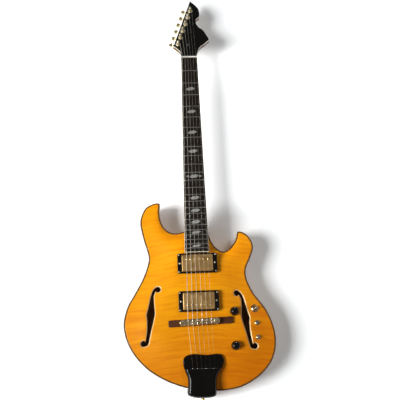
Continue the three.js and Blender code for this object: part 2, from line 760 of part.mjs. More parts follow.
function postHoles(frontY, backY) {
  return posts.map(({ x, z }) => cylinder(BARREL_RADIUS + FIT_GAP, frontY, backY, 12).translate([x, 0, z]));
}

function boardWidthAt(z) {
  return NUT_WIDTH + (BOARD_END_WIDTH - NUT_WIDTH) * (-z / BOARD_LENGTH);
}

// half of a rounded section behind the fingerboard plane, fuller than an ellipse
function neckSection(width, depth, z) {
  const steps = 10;
  const fullness = 0.82;
  const ring = [];
  for (let i = 0; i <= steps; i += 1) {
    const turn = (i / steps) * Math.PI;
    const across = Math.sign(Math.cos(turn)) * Math.abs(Math.cos(turn)) ** fullness;
    ring.push([across * width / 2, depth * Math.sin(turn) ** fullness, z]);
  }
  return ring;
}

function buildNeck() {
  const shaftEnd = tongueStart + HEEL_RUN;
  const nutBack = headPivotZ + CUT_OVERRUN;
  const stations = [
    [nutBack, NUT_WIDTH, HEAD_THICKNESS],
    [-NUT_THICKNESS, NUT_WIDTH, VOLUTE_DEPTH],
    [-VOLUTE_RUN, boardWidthAt(-VOLUTE_RUN), NECK_DEPTH_AT_NUT],
    [shaftEnd / 2, boardWidthAt(shaftEnd / 2), (NECK_DEPTH_AT_NUT + NECK_DEPTH_AT_HEEL) / 2],
    [shaftEnd, boardWidthAt(shaftEnd), NECK_DEPTH_AT_HEEL],
  ];
  const curveShares = [0.4, 0.65, 0.82, 0.93, 1];
  for (const share of curveShares) {
    const drop = 1 - Math.cos(share * Math.PI / 2);
    stations.push([
      shaftEnd - share * (HEEL_RUN - HEEL_CAP),
      THREE.MathUtils.lerp(boardWidthAt(shaftEnd), HEEL_WIDTH, share),
      THREE.MathUtils.lerp(NECK_DEPTH_AT_HEEL, HEEL_DEPTH, drop),
    ]);
  }
  stations.push([tongueStart, HEEL_WIDTH, HEEL_DEPTH]);
  let neck = loft(stations.map(([z, width, depth]) => neckSection(width, depth, z)));
  const tongueLength = tongueStart - boardEnd + FIT_GAP;
  neck = neck.add(box(
    TONGUE_WIDTH, TONGUE_DEPTH, tongueLength, 0, TONGUE_DEPTH / 2, boardEnd + tongueLength / 2));
  const woodY = FACING_THICKNESS + FIT_GAP;
  const headRoom = box(HEAD_WIDTH, NECK_DEPTH_AT_NUT, HEAD_LENGTH, 0, 0, HEAD_LENGTH / 2)
    .translate([0, woodY - NECK_DEPTH_AT_NUT / 2, 0]);
  neck = neck.subtract(inHead(headRoom));
  neck = neck.add(inHead(plate(shapeOf(headOutline), woodY, HEAD_THICKNESS)));
  for (const hole of postHoles(0, HEAD_THICKNESS + CUT_OVERRUN)) neck = neck.subtract(inHead(hole));
  neck = neck.subtract(cylinder(STRAP_SCREW_RADIUS + FIT_GAP, HEEL_DEPTH - STRAP_SCREW_LENGTH - FIT_GAP,
    HEEL_DEPTH + CUT_OVERRUN, 8).translate([0, 0, heelStrapZ]));
  const channelWidth = ROD_WIDTH + 2 * FIT_GAP;
  const channelLength = ROD_LENGTH + 2 * FIT_GAP;
  return neck.subtract(box(
    channelWidth, 2 * (ROD_DEPTH + 2 * FIT_GAP), channelLength, 0, 0, -ROD_INSET - ROD_LENGTH / 2));
}

// the radiused board, raised by a height for the tops of the frets
function boardBlock(raise, frontZ, backZ, narrowing) {
  const steps = 3;
  const sectionAt = (z) => {
    const half = boardWidthAt(z) / 2 - narrowing;
    const ring = [[-half, 0, z]];
    for (let i = 0; i <= steps; i += 1) {
      const x = half * (2 * i / steps - 1);
      const crown = BOARD_RADIUS - Math.sqrt(BOARD_RADIUS ** 2 - x ** 2);
      ring.push([x, crown - BOARD_THICKNESS - raise, z]);
    }
    ring.push([half, 0, z]);
    return ring;
  };
  return loft([sectionAt(frontZ), sectionAt(backZ)]);
}

const fretPlaces = Array.from({ length: FRET_COUNT }, (_, i) => -SCALE_LENGTH * (1 - 2 ** (-(i + 1) / 12)));

function buildFingerboard() {
  let board = boardBlock(0, -FIT_GAP, boardEnd, 0).translate([0, -FIT_GAP, 0]);
  const crowned = boardBlock(FRET_HEIGHT, -FIT_GAP, boardEnd, BOARD_BINDING / 2).translate([0, -FIT_GAP, 0]);
  const height = BOARD_THICKNESS + 2 * FRET_HEIGHT;
  for (const z of fretPlaces) {
    const fret = box(BOARD_END_WIDTH, height, FRET_WIDTH, 0, -height / 2, z);
    board = board.add(fret.intersect(crowned));
  }
  return board;
}

function stringX(i, spread) {
  return (i / (STRING_DIAMETERS.length - 1) - 0.5) * spread;
}

function buildNut() {
  const top = BOARD_THICKNESS + FRET_HEIGHT + NUT_RISE;
  const frontZ = NUT_THICKNESS - FIT_GAP;
  const sectionAt = (y, back) => [
    [-NUT_WIDTH / 2, y, 0], [NUT_WIDTH / 2, y, 0], [NUT_WIDTH / 2, y, back], [-NUT_WIDTH / 2, y, back]];
  let nut = loft([
    sectionAt(-FIT_GAP, frontZ), sectionAt(-BOARD_THICKNESS, frontZ), sectionAt(-top, NUT_CROWN)]);
  STRING_DIAMETERS.forEach((diameter, i) => {
    const width = diameter + 2 * FIT_GAP;
    const floor = STRING_HEIGHT_AT_NUT - diameter / 2 - FIT_GAP;
    const height = 2 * (top - floor);
    const slotLength = NUT_THICKNESS + 2 * CUT_OVERRUN;
    nut = nut.subtract(box(
      width, height, slotLength, stringX(i, STRING_SPREAD_AT_NUT), -floor - height / 2, 0));
  });
  return nut;
}

addPiece(guitar, 'neck', buildNeck(), neckWood);
addPiece(guitar, 'fingerboard', buildFingerboard(), ebony);
addPiece(guitar, 'nut', buildNut(), bone);
addPiece(guitar, 'truss_rod', box(
  ROD_WIDTH, ROD_DEPTH, ROD_LENGTH, 0, ROD_DEPTH / 2 + FIT_GAP, -ROD_INSET - ROD_LENGTH / 2), steel);

let facing = plate(shapeOf(headOutline), 0, FACING_THICKNESS);
facing = facing.subtract(box(HEAD_WIDTH, HEAD_THICKNESS, 2 * FIT_GAP, 0, 0, 0));
for (const hole of postHoles(-CUT_OVERRUN, HEAD_THICKNESS)) facing = facing.subtract(hole);
addPiece(head, 'headstock_facing', facing, blackGloss);

// Tuning machines

const wormY = HEAD_THICKNESS + FIT_GAP + HOUSING_DEPTH / 2;
const wormZ = WHEEL_RADIUS + WORM_RADIUS + FIT_GAP;
const wheelHalf = SHAFT_RADIUS;

function buildHousing() {
  const frontY = HEAD_THICKNESS + FIT_GAP;
  const centreZ = wormZ / 2;
  const shape = roundedRectangle(HOUSING_WIDTH, HOUSING_LENGTH, HOUSING_ROUNDING);
  let housing = plate(shape, frontY, frontY + HOUSING_DEPTH, 2).translate([0, 0, centreZ]);
  housing = housing.add(cylinder(BARREL_RADIUS, -FIT_GAP * 2, frontY + FIT_GAP, 10));
  housing = housing.add(cylinder(FERRULE_RADIUS, -FIT_GAP - FERRULE_HEIGHT, -FIT_GAP, 10));
  housing = housing.subtract(cylinder(POST_RADIUS + FIT_GAP, -CUT_OVERRUN, wormY, 8));
  housing = housing.subtract(cylinder(
    WHEEL_RADIUS + 3 * FIT_GAP, wormY - wheelHalf - FIT_GAP, wormY + wheelHalf + FIT_GAP, 8));
  const wormBore = cylinder(WORM_RADIUS + 2 * FIT_GAP, -HOUSING_WIDTH / 4, HOUSING_WIDTH / 4, 6);
  const shaftBore = cylinder(SHAFT_RADIUS + FIT_GAP, 0, HOUSING_WIDTH, 6);
  return housing.subtract(alongShaft(wormBore)).subtract(alongShaft(shaftBore));
}

// a solid turned about Y is laid along the worm shaft, its back end towards the button
function alongShaft(body) {
  return body.rotate([0, 0, 90]).translate([0, wormY, wormZ]);
}

function buildPost() {
  const rear = -(wormY + wheelHalf);
  const wheelFront = -(wormY - wheelHalf);
  const windingFoot = FERRULE_HEIGHT + 2 * FIT_GAP;
  const profile = [[0, rear], [WHEEL_RADIUS, rear], [WHEEL_RADIUS, wheelFront], [POST_RADIUS, wheelFront]];
  for (let i = 0; i < WINDING_COUNT; i += 1) {
    const foot = windingFoot + FIT_GAP + i * WINDING_PITCH;
    profile.push([POST_RADIUS, foot], [WINDING_RADIUS, foot + WINDING_PITCH / 2]);
  }
  const aboveWinding = windingFoot + FIT_GAP + WINDING_COUNT * WINDING_PITCH;
  profile.push([POST_RADIUS, aboveWinding], [POST_RADIUS, POST_HEIGHT - EDGE_BREAK]);
  profile.push([POST_RADIUS - EDGE_BREAK, POST_HEIGHT], [0, POST_HEIGHT]);
  return turned(profile, 8);
}

function buildButton() {
  const profile = [
    [0, -HOUSING_WIDTH / 4 + FIT_GAP], [WORM_RADIUS, -HOUSING_WIDTH / 4 + FIT_GAP],
    [WORM_RADIUS, HOUSING_WIDTH / 4 - FIT_GAP], [SHAFT_RADIUS, HOUSING_WIDTH / 4 - FIT_GAP],
    [SHAFT_RADIUS, BUTTON_REACH], [0, BUTTON_REACH]];
  const shaft = alongShaft(turned(profile, 6).rotate([180, 0, 0]));
  const oval = new THREE.SphereGeometry(1, 8, 6);
  oval.scale(BUTTON_LENGTH / 2, BUTTON_THICKNESS / 2, BUTTON_WIDTH / 2);
  oval.translate(-BUTTON_REACH, wormY, wormZ);
  return shaft.add(solid(oval));
}

posts.forEach(({ x, z }, i) => {
  const machine = new THREE.Group();
  machine.position.set(x, 0, z);
  machine.rotation.y = POST_LINE_ANGLE;
  head.add(machine);
  addPiece(machine, `tuner_${i + 1}_housing`, buildHousing(), gold);
  addPiece(machine, `tuner_${i + 1}_post`, buildPost(), gold);
  addPiece(machine, `tuner_${i + 1}_button`, buildButton(), gold);
});

// Pickups

function buildRing(distance, frontY) {
  const shape = roundedRectangle(RING_WIDTH, RING_LENGTH, RING_ROUNDING);
  const hole = roundedRectangle(
    COVER_WIDTH + 2 * RING_HOLE_CLEARANCE, COVER_LENGTH + 2 * RING_HOLE_CLEARANCE, COVER_ROUNDING);
  const block = plate(shape, frontY, topInnerY, 3).subtract(
    plate(hole, frontY - CUT_OVERRUN, topInnerY + CUT_OVERRUN, 3));
  return block.translate([0, 0, fromNut(distance)]).subtract(archSeat);
}

function buildPickup(distance, frontY, poleSide) {
  const plateY = frontY + COVER_DEPTH;
  const cover = roundedRectangle(COVER_WIDTH, COVER_LENGTH, COVER_ROUNDING);
  let pickup = plate(cover, frontY, plateY, 3).add(box(
    PLATE_WIDTH, PLATE_THICKNESS, PLATE_LENGTH, 0, plateY - PLATE_THICKNESS / 2, 0));
  for (let i = 0; i < STRING_DIAMETERS.length; i += 1) {
    pickup = pickup.add(cylinder(POLE_RADIUS, frontY - POLE_HEIGHT, frontY + POLE_HEIGHT, 8)
      .translate([stringX(i, POLE_SPREAD), 0, poleSide * POLE_OFFSET]));
  }
  return pickup.translate([0, 0, fromNut(distance)]);
}

addPiece(guitar, 'neck_pickup_ring', buildRing(NECK_PICKUP_FROM_NUT, NECK_RING_Y), blackPlastic);
addPiece(guitar, 'neck_pickup', buildPickup(NECK_PICKUP_FROM_NUT, NECK_COVER_Y, 1), agedNickel);
addPiece(guitar, 'bridge_pickup_ring', buildRing(BRIDGE_PICKUP_FROM_NUT, BRIDGE_RING_Y), blackPlastic);
addPiece(guitar, 'bridge_pickup', buildPickup(BRIDGE_PICKUP_FROM_NUT, BRIDGE_COVER_Y, -1), agedNickel);

// Bridge, drawn level and then slanted about its own centre

const bridge = new THREE.Group();
bridge.position.set(BRIDGE_CENTRE_X, 0, fromNut(BRIDGE_FROM_NUT));
bridge.rotation.y = -BRIDGE_SLANT;
guitar.add(bridge);

function intoBridge(body) {
  return body.translate([-BRIDGE_CENTRE_X, 0, BRIDGE_FROM_NUT])
    .rotate([0, THREE.MathUtils.radToDeg(BRIDGE_SLANT), 0]);
}

const barBackY = BAR_FRONT_Y + BAR_DEPTH;
const channelFloorY = BAR_FRONT_Y + CHANNEL_DEPTH;
const wheelFrontY = barBackY + FIT_GAP;

function buildBase() {
  const shape = roundedRectangle(BASE_LENGTH, BASE_WIDTH, BASE_ROUNDING);
  let base = plate(shape, BASE_FRONT_Y, topInnerY, 3)
    .translate([BASE_CENTRE_X - BRIDGE_CENTRE_X, 0, 0]);
  base = base.subtract(intoBridge(archSeat));
  for (const side of [-1, 1]) {
    base = base.subtract(cylinder(STUD_RADIUS + FIT_GAP, BASE_FRONT_Y - CUT_OVERRUN, topInnerY, 12)
      .translate([side * STUD_SPREAD / 2, 0, 0]));
  }
  return base;
}

function buildBar() {
  const rounding = BAR_WIDTH / 2 - FIT_GAP;
  let bar = plate(roundedRectangle(BAR_LENGTH, BAR_WIDTH, rounding), BAR_FRONT_Y, barBackY, 4);
  const room = CHANNEL_DEPTH + CUT_OVERRUN;
  bar = bar.subtract(box(CHANNEL_LENGTH, room, CHANNEL_WIDTH, 0, channelFloorY - room / 2, 0));
  for (const side of [-1, 1]) {
    bar = bar.subtract(cylinder(STUD_RADIUS + FIT_GAP, BAR_FRONT_Y - CUT_OVERRUN, barBackY + CUT_OVERRUN, 12)
      .translate([side * STUD_SPREAD / 2, 0, 0]));
  }
  return bar;
}

function buildStud() {
  const wheelFront = -wheelFrontY;
  const wheelRear = wheelFront - THUMBWHEEL_THICKNESS;
  const tip = -BAR_FRONT_Y - FIT_GAP;
  return turned([
    [0, tip - STUD_LENGTH], [STUD_RADIUS, tip - STUD_LENGTH], [STUD_RADIUS, wheelRear],
    [THUMBWHEEL_RADIUS, wheelRear], [THUMBWHEEL_RADIUS, wheelFront], [STUD_RADIUS, wheelFront],
    [STUD_RADIUS, tip], [0, tip]], 14);
}

// a block with a sloped back and a ridge under its string
function buildSaddle(i) {
  const crest = -(STRING_HEIGHT_AT_BRIDGE - STRING_DIAMETERS[i] / 2 - FIT_GAP);
  const foot = channelFloorY - FIT_GAP;
  const shoulder = (crest + foot) / 2;
  const half = SADDLE_LENGTH / 2;
  const ridge = SADDLE_RIDGE / 2;
  const side = [
    [foot, -half], [foot, half], [shoulder, half], [crest, ridge], [crest, -ridge], [shoulder, -half]];
  const ringAt = (x) => side.map(([y, z]) => [x, y, z]);
  return loft([ringAt(-SADDLE_WIDTH / 2), ringAt(SADDLE_WIDTH / 2)]);
}

addPiece(bridge, 'bridge_base', buildBase(), rosewood);
addPiece(bridge, 'bridge_bar', buildBar(), gold);
[-1, 1].forEach((side, i) => {
  const stud = addPiece(bridge, `bridge_stud_${i + 1}`, buildStud(), gold);
  stud.position.x = side * STUD_SPREAD / 2;
});

const saddlePlaces = STRING_DIAMETERS.map((_, i) => {
  const x = stringX(i, STRING_SPREAD_AT_BRIDGE) / Math.cos(BRIDGE_SLANT) - BRIDGE_CENTRE_X;
  return new THREE.Vector3(x, 0, SADDLE_STAGGERS[i]);
});
saddlePlaces.forEach((place, i) => {
  const saddle = addPiece(bridge, `saddle_${i + 1}`, buildSaddle(i), gold);
  saddle.position.copy(place);
});

// Tailpiece: a carved block that floats over the arch and hooks round the end of the body

const tailEnd = fromNut(TAIL_END_FROM_NUT);
const tailStep = tailEnd + TAIL_STEP_FROM_END;
const tailNose = tailEnd + TAIL_LENGTH;

function tailStringPoint(i) {
  return new THREE.Vector3(
    STRING_TAIL_OFFSET + stringX(i, STRING_SPREAD_AT_TAIL), -STRING_HEIGHT_AT_TAIL, tailStep);
}

function buildTailpiece() {
  const points = scaled(TAIL_OUTLINE_SHARES, TAIL_WIDTH, TAIL_LENGTH, 0, tailEnd);
  const outline = joined(smooth([...points, points[0]], OUTLINE_TOLERANCE));
  // the outline narrows towards the front in two bevelled layers
  let block = stackedOutlines([
    { points: inset(outline, TAIL_BEVEL), y: TAIL_DECK_Y },
    { points: inset(outline, TAIL_BEVEL / 4), y: TAIL_DECK_Y + TAIL_BEVEL },
    { points: outline, y: TAIL_DECK_Y + TAIL_BEVEL * 2 },
    { points: outline, y: TAIL_HOOK_Y },
  ]);
  // seen from the side, a recess lies in front of the step and the hook's back corner is cut off
  const recess = [
    [TAIL_DECK_Y - CUT_OVERRUN, tailStep], [TAIL_LEDGE_Y, tailStep], [TAIL_NOSE_Y, tailNose + CUT_OVERRUN],
    [TAIL_DECK_Y - CUT_OVERRUN, tailNose + CUT_OVERRUN]];
  const corner = [
    [TAIL_HOOK_Y - TAIL_BEVEL, tailEnd - CUT_OVERRUN], [TAIL_HOOK_Y + CUT_OVERRUN, tailEnd - CUT_OVERRUN],
    [TAIL_HOOK_Y + CUT_OVERRUN, tailEnd + TAIL_BEVEL + CUT_OVERRUN]];
  for (const side of [recess, corner]) {
    block = block.subtract(loft([-TAIL_WIDTH, TAIL_WIDTH].map((x) => side.map(([y, z]) => [x, y, z]))));
  }
  block = block.subtract(archSolid(-TAIL_ARCH_GAP, outsideBackY).intersect(
    plate(shapeOf(inset(bodyOutline, -FIT_GAP)), archY - CUT_OVERRUN, outsideBackY)));
  STRING_DIAMETERS.forEach((_, i) => {
    const hole = cylinder(STRING_HOLE_RADIUS, -STRING_HOLE_DEPTH * 2, STRING_HOLE_DEPTH * 2, 8)
      .rotate([90, 0, 0]).translate(tailStringPoint(i).toArray());
    block = block.subtract(hole);
  });
  const screwHole = cylinder(STRAP_SCREW_RADIUS + FIT_GAP, -CUT_OVERRUN, TAIL_LENGTH, 8);
  return block.subtract(belowTail(screwHole, 0));
}

// a solid turned about the front axis is laid along the body's length at the tail's strap button
function belowTail(body, drop) {
  return body.rotate([90, 0, 0]).translate([TAIL_STRAP_X, TAIL_STRAP_Y, tailEnd - drop]);
}

addPiece(guitar, 'tailpiece', buildTailpiece(), blackGloss);

// Strap buttons and jack

function buildStrapButton() {
  const lip = STRAP_HEIGHT - STRAP_FLANGE;
  return turned([
    [0, -STRAP_SCREW_LENGTH], [STRAP_SCREW_RADIUS, -STRAP_SCREW_LENGTH], [STRAP_SCREW_RADIUS, 0],
    [STRAP_FOOT_RADIUS, 0], [STRAP_WAIST_RADIUS, STRAP_FLANGE], [STRAP_WAIST_RADIUS, lip - EDGE_BREAK],
    [STRAP_HEAD_RADIUS, lip], [STRAP_HEAD_RADIUS, STRAP_HEIGHT - EDGE_BREAK],
    [STRAP_HEAD_RADIUS - EDGE_BREAK, STRAP_HEIGHT], [0, STRAP_HEIGHT]], 12);
}

addPiece(guitar, 'tail_strap_button', belowTail(buildStrapButton(), FIT_GAP), gold);

const backBlock = buildBack();
const jackZ = fromNut(BODY_END_FROM_NUT) + JACK_SHARE * BODY_LENGTH;
const jackY = (bodyFrontY + bodyBackY) / 2;

// where the side wall lies at a height, on the treble side
function trebleWallX(z) {
  let wall = 0;
  bodyOutline.forEach(([ax, az], i) => {
    const [bx, bz] = bodyOutline[(i + 1) % bodyOutline.length];
    if ((az - z) * (bz - z) <= 0 && az !== bz) {
      wall = Math.max(wall, ax + (bx - ax) * (z - az) / (bz - az));
    }
  });
  return wall;
}

// a solid turned about the front axis points out of the treble side instead
function outOfSide(body, x) {
  return body.rotate([0, 0, 90]).translate([x, jackY, jackZ]);
}

function buildJack() {
  const inner = JACK_NUT_THICKNESS - JACK_LENGTH;
  const mouth = JACK_NUT_THICKNESS + EDGE_BREAK;
  return turned([
    [JACK_BORE_RADIUS, inner], [JACK_BARREL_RADIUS, inner], [JACK_BARREL_RADIUS, FIT_GAP],
    [JACK_WASHER_RADIUS, FIT_GAP], [JACK_WASHER_RADIUS, EDGE_BREAK], [JACK_RADIUS, EDGE_BREAK],
    [JACK_RADIUS, JACK_NUT_THICKNESS], [JACK_BARREL_RADIUS, JACK_NUT_THICKNESS],
    [JACK_BARREL_RADIUS, mouth], [JACK_BORE_RADIUS, mouth], [JACK_BORE_RADIUS, inner]], 12);
}

// the wall is counterbored flat for the jack's washer
const wallX = trebleWallX(jackZ) - JACK_SINK;
const jackHole = outOfSide(
  cylinder(JACK_BARREL_RADIUS + FIT_GAP, -CUT_OVERRUN, JACK_LENGTH + RIM_WALL, 14), wallX);
const jackSeat = outOfSide(cylinder(JACK_WASHER_RADIUS + FIT_GAP, -CUT_OVERRUN, 0, 14), wallX);
const tailScrewHole = belowTail(
  cylinder(STRAP_SCREW_RADIUS + FIT_GAP, -CUT_OVERRUN, STRAP_SCREW_LENGTH + CUT_OVERRUN, 8), 0);
const backWithHoles = backBlock.subtract(jackHole).subtract(jackSeat).subtract(tailScrewHole);
addPiece(guitar, 'body_back', backWithHoles, redMahogany);
addPiece(guitar, 'output_jack', outOfSide(buildJack(), wallX), nickel);

addPiece(guitar, 'heel_strap_button', buildStrapButton().rotate([180, 0, 0])
  .translate([0, HEEL_DEPTH + FIT_GAP, heelStrapZ]), gold);

// Controls: a pot under each knob, a body under each lever

// the arch's frontmost surface within a reach of a place
function frontmostY(place, reach) {
  const surfaces = [archSurfaceY(place.x, place.z)];
  const directions = 8;
  for (let i = 0; i < directions; i += 1) {
    const turn = (i / directions) * Math.PI * 2;
    surfaces.push(archSurfaceY(place.x + reach * Math.cos(turn), place.z + reach * Math.sin(turn)));
  }
  return Math.min(...surfaces);
}

function buildPot(place) {
  const surface = archSurfaceY(place.x, place.z);
  const shaftTop = -(surface - KNOB_BORE_DEPTH);
  const shoulder = -seatBackY(place) - FIT_GAP;
  return turned([
    [0, shoulder - POT_DEPTH], [POT_RADIUS, shoulder - POT_DEPTH], [POT_RADIUS, shoulder],
    [POT_BUSH_RADIUS, shoulder], [POT_BUSH_RADIUS, -surface], [POT_SHAFT_RADIUS, -surface],
    [POT_SHAFT_RADIUS, shaftTop], [0, shaftTop]], 14);
}

// a domed knob, bored from below for the shaft
function buildKnob(place) {
  const foot = -(frontmostY(place, KNOB_RADIUS) - 2 * FIT_GAP);
  const top = foot + KNOB_HEIGHT;
  const boreTop = foot + KNOB_BORE_DEPTH;
  const bore = POT_SHAFT_RADIUS + FIT_GAP;
  const profile = [
    [0, boreTop], [bore, boreTop], [bore, foot], [KNOB_RADIUS - EDGE_BREAK, foot],
    [KNOB_RADIUS, foot + KNOB_SKIRT]];
  const steps = 4;
  for (let i = 0; i <= steps; i += 1) {
    const turn = (i / steps) * Math.PI / 2;
    const radius = KNOB_TOP_RADIUS + (KNOB_RADIUS - EDGE_BREAK - KNOB_TOP_RADIUS) * Math.cos(turn);
    profile.push([radius, top - KNOB_DOME * (1 - Math.sin(turn))]);
  }
  profile.push([0, top]);
  return turned(profile, 16);
}

function nutFrontY(place, nutRadius) {
  return archSurfaceY(place.x, place.z) - nutRadius / 2;
}

// a bushing with its nut, cut to the arch, on a body under the top; the lever's ball sits in its mouth
function buildSwitchBody(place, bushRadius, nutRadius, bodySize, leverRadius) {
  const nutFront = nutFrontY(place, nutRadius);
  const shoulder = seatBackY(place) + FIT_GAP;
  const nutShape = new THREE.Shape();
  for (let i = 0; i < 6; i += 1) {
    const turn = (i / 6) * Math.PI * 2;
    if (i === 0) nutShape.moveTo(nutRadius, 0);
    else nutShape.lineTo(nutRadius * Math.cos(turn), nutRadius * Math.sin(turn));
  }
  const nut = plate(nutShape, nutFront, topInnerY).translate([place.x, 0, place.z]).subtract(archSeat);
  let body = cylinder(bushRadius, nutFront - EDGE_BREAK, shoulder + EDGE_BREAK, 12)
    .translate([place.x, 0, place.z]).add(nut);
  const width = SWITCH_BODY_SHARE * bodySize;
  body = body.add(box(width, bodySize, bodySize, place.x, shoulder + bodySize / 2, place.z));
  const floor = -nutFront - leverRadius * 3;
  const mouth = turned([
    [0, floor], [leverRadius + 2 * FIT_GAP, floor], [leverRadius + 2 * FIT_GAP, -nutFront],
    [bushRadius - FIT_GAP, -nutFront + CUT_OVERRUN], [0, -nutFront + CUT_OVERRUN]], 10);
  return body.subtract(mouth.translate([place.x, 0, place.z]));
}

function leverPivotY(place, nutRadius, leverRadius) {
  return nutFrontY(place, nutRadius) + leverRadius;
}

// a bat-shaped lever with a ball at its pivot, drawn about the pivot
function buildLever(length, radius) {
  const profile = [[0, -radius]];
  for (const turn of [-Math.PI / 4, 0, Math.PI / 4]) {
    profile.push([radius * Math.cos(turn), radius * Math.sin(turn)]);
  }
  profile.push([radius / 2, radius * 2], [radius, length - radius], [radius / 2, length], [0, length]);
  return turned(profile, 10);
}

controls.forEach((place) => {
  addPiece(guitar, `${place.name}_pot`, buildPot(place).translate([place.x, 0, place.z]), steel);
  addPiece(guitar, `${place.name}_knob`, buildKnob(place).translate([place.x, 0, place.z]), blackPlastic);
});

function addSwitch(place, bushRadius, nutRadius, bodySize, leverLength, leverRadius) {
  const body = buildSwitchBody(place, bushRadius, nutRadius, bodySize, leverRadius);
  addPiece(guitar, `${place.name}_body`, body, nickel);
  const lever = addPiece(guitar, `${place.name}_lever`, buildLever(leverLength, leverRadius), nickel);
  lever.position.set(place.x, leverPivotY(place, nutRadius, leverRadius), place.z);
}

addSwitch(
  pickupSwitch, SWITCH_BUSH_RADIUS, SWITCH_NUT_RADIUS, SWITCH_BODY, SWITCH_LEVER_LENGTH, SWITCH_LEVER_RADIUS);
for (const place of minis) {
  addSwitch(place, MINI_BUSH_RADIUS, MINI_NUT_RADIUS, MINI_BODY, MINI_LEVER_LENGTH, MINI_LEVER_RADIUS);
}

// Strings: from the tailpiece over the saddle and the nut to the post

function buildString(i) {
  const radius = STRING_DIAMETERS[i] / 2;
  const saddle = saddlePlaces[i].clone().applyAxisAngle(new THREE.Vector3(0, 1, 0), -BRIDGE_SLANT)
    .add(new THREE.Vector3(BRIDGE_CENTRE_X, -STRING_HEIGHT_AT_BRIDGE, fromNut(BRIDGE_FROM_NUT)));
  const nutPoint = new THREE.Vector3(
    stringX(i, STRING_SPREAD_AT_NUT), -STRING_HEIGHT_AT_NUT, NUT_CROWN);
  const tailPoint = tailStringPoint(i);
  tailPoint.z -= STRING_HOLE_DEPTH;
  const windingY = -(FERRULE_HEIGHT + 3 * FIT_GAP + WINDING_COUNT * WINDING_PITCH / 2);
  const postPoint = new THREE.Vector3(
    posts[i].x + WINDING_RADIUS + FIT_GAP + radius, windingY, posts[i].z - WINDING_RADIUS / 2)
    .applyAxisAngle(new THREE.Vector3(1, 0, 0), -HEAD_PITCH)
    .add(new THREE.Vector3(0, HEAD_DROP, headPivotZ));
  const points = [tailPoint, saddle, nutPoint, postPoint];
  const sides = 6;
  const rings = points.map((point) => {
    const ring = [];
    for (let k = 0; k < sides; k += 1) {
      const turn = (k / sides) * Math.PI * 2;
      ring.push([point.x + radius * Math.cos(turn), point.y + radius * Math.sin(turn), point.z]);
    }
    return ring;
  });
  return loft(rings);
}

STRING_DIAMETERS.forEach((_, i) => {
  addPiece(guitar, `string_${i + 1}`, buildString(i), i < 3 ? nickel : steel);
});

export default guitar;
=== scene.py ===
import math

import bmesh
import bpy
import numpy as np
from mathutils import Matrix, Vector
from mathutils.geometry import delaunay_2d_cdt


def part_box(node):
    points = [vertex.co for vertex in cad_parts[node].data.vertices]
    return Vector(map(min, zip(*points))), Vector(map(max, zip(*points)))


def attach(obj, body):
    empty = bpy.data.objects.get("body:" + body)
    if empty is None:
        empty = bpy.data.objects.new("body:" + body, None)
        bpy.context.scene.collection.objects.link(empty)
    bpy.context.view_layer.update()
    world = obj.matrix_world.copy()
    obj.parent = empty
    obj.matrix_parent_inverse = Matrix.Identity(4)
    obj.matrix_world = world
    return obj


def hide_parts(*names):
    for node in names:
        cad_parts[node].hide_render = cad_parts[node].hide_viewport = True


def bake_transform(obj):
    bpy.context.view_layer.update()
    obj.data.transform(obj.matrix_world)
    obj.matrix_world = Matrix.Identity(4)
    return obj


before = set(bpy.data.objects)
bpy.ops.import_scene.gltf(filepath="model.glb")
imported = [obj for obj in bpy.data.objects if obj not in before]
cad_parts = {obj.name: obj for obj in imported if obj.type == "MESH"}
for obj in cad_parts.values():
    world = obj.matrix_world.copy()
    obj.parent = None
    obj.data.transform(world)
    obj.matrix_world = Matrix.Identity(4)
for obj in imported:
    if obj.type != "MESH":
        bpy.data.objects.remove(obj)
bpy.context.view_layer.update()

MM = 0.001
TURN = 2 * math.pi
QUARTER = math.pi / 2
WHITE = (1, 1, 1, 1)

# Dimensions, as in the part's source

FIT_GAP = 0.3
SCALE_LENGTH = 648.0
FRET_COUNT = 24
NUT_WIDTH = 40.5
BOARD_END_WIDTH = 55.5
BOARD_LENGTH = 495.5
BOARD_THICKNESS = 6.0
BOARD_RADIUS = 350.0
HEAD_PITCH = math.radians(9)
HEAD_DROP = 0.5
HEAD_PIVOT_Z = 5.0
HEAD_LENGTH = 188.0
HEAD_WIDTH = 92.4
HEAD_THICKNESS = 13.5
TONGUE_START_Z = -442.3
POST_PITCH = 23.3
POST_LINE_ANGLE = math.radians(17.4)
FIRST_POST_X = -26.3
FIRST_POST_RISE = 41.5
WORM_Y = 19.3
WORM_Z = 7.8
BODY_WIDTH = 336.5
BODY_LENGTH = 424.6
BODY_END_Z = -796.0
BODY_EDGE_Y = 17.0
ARCH_HEIGHT = 11.0
ARCH_RUN = 76.0
CUTAWAY_RUN = 26.0
TOP_INNER_Y = 21.5
BODY_FRONT_Y = 21.8
BODY_BACK_Y = 60.8
F_HOLE_LENGTH = 130.0
F_HOLE_PLACES = ((-107.5, -629.3, 1), (103.7, -643.4, -1))
PICKUP_ROOM = (86, 41, 1.5)
NECK_PICKUP_Z = -519.8
BRIDGE_PICKUP_Z = -605.0
STRING_DIAMETERS = (1.2, 0.95, 0.75, 0.5, 0.4, 0.3)
NUT_SPREAD = 34
SADDLE_SPREAD = 52
TAIL_SPREAD = 46
TAIL_SPREAD_X = 5.5
BRIDGE_X = 0.6
BRIDGE_Z = -650.4
BRIDGE_SLANT = math.radians(1.65)
SADDLE_STAGGERS = (-0.9, 0.1, 0.9, -0.7, 0, 0.8)
SADDLE_TOP = 10.5
TAIL_WIDTH = 88.0
TAIL_LENGTH = 92.0
TAIL_END_Z = -809.3
TAIL_STEP_Z = TAIL_END_Z + 60.5
KNOB_PLACES = (("volume", 78.4, -629.6), ("tone", 77.2, -703.5))
TOGGLE_X = 125.4
TOGGLE_Z = -624.6
TOGGLE_PIVOT_Y = 13.319
MINI_X = 128.3
MINI_PLACES = ((1, -656.2, 11.345), (2, -687.6, 9.811))
JACK_Y = 41.3
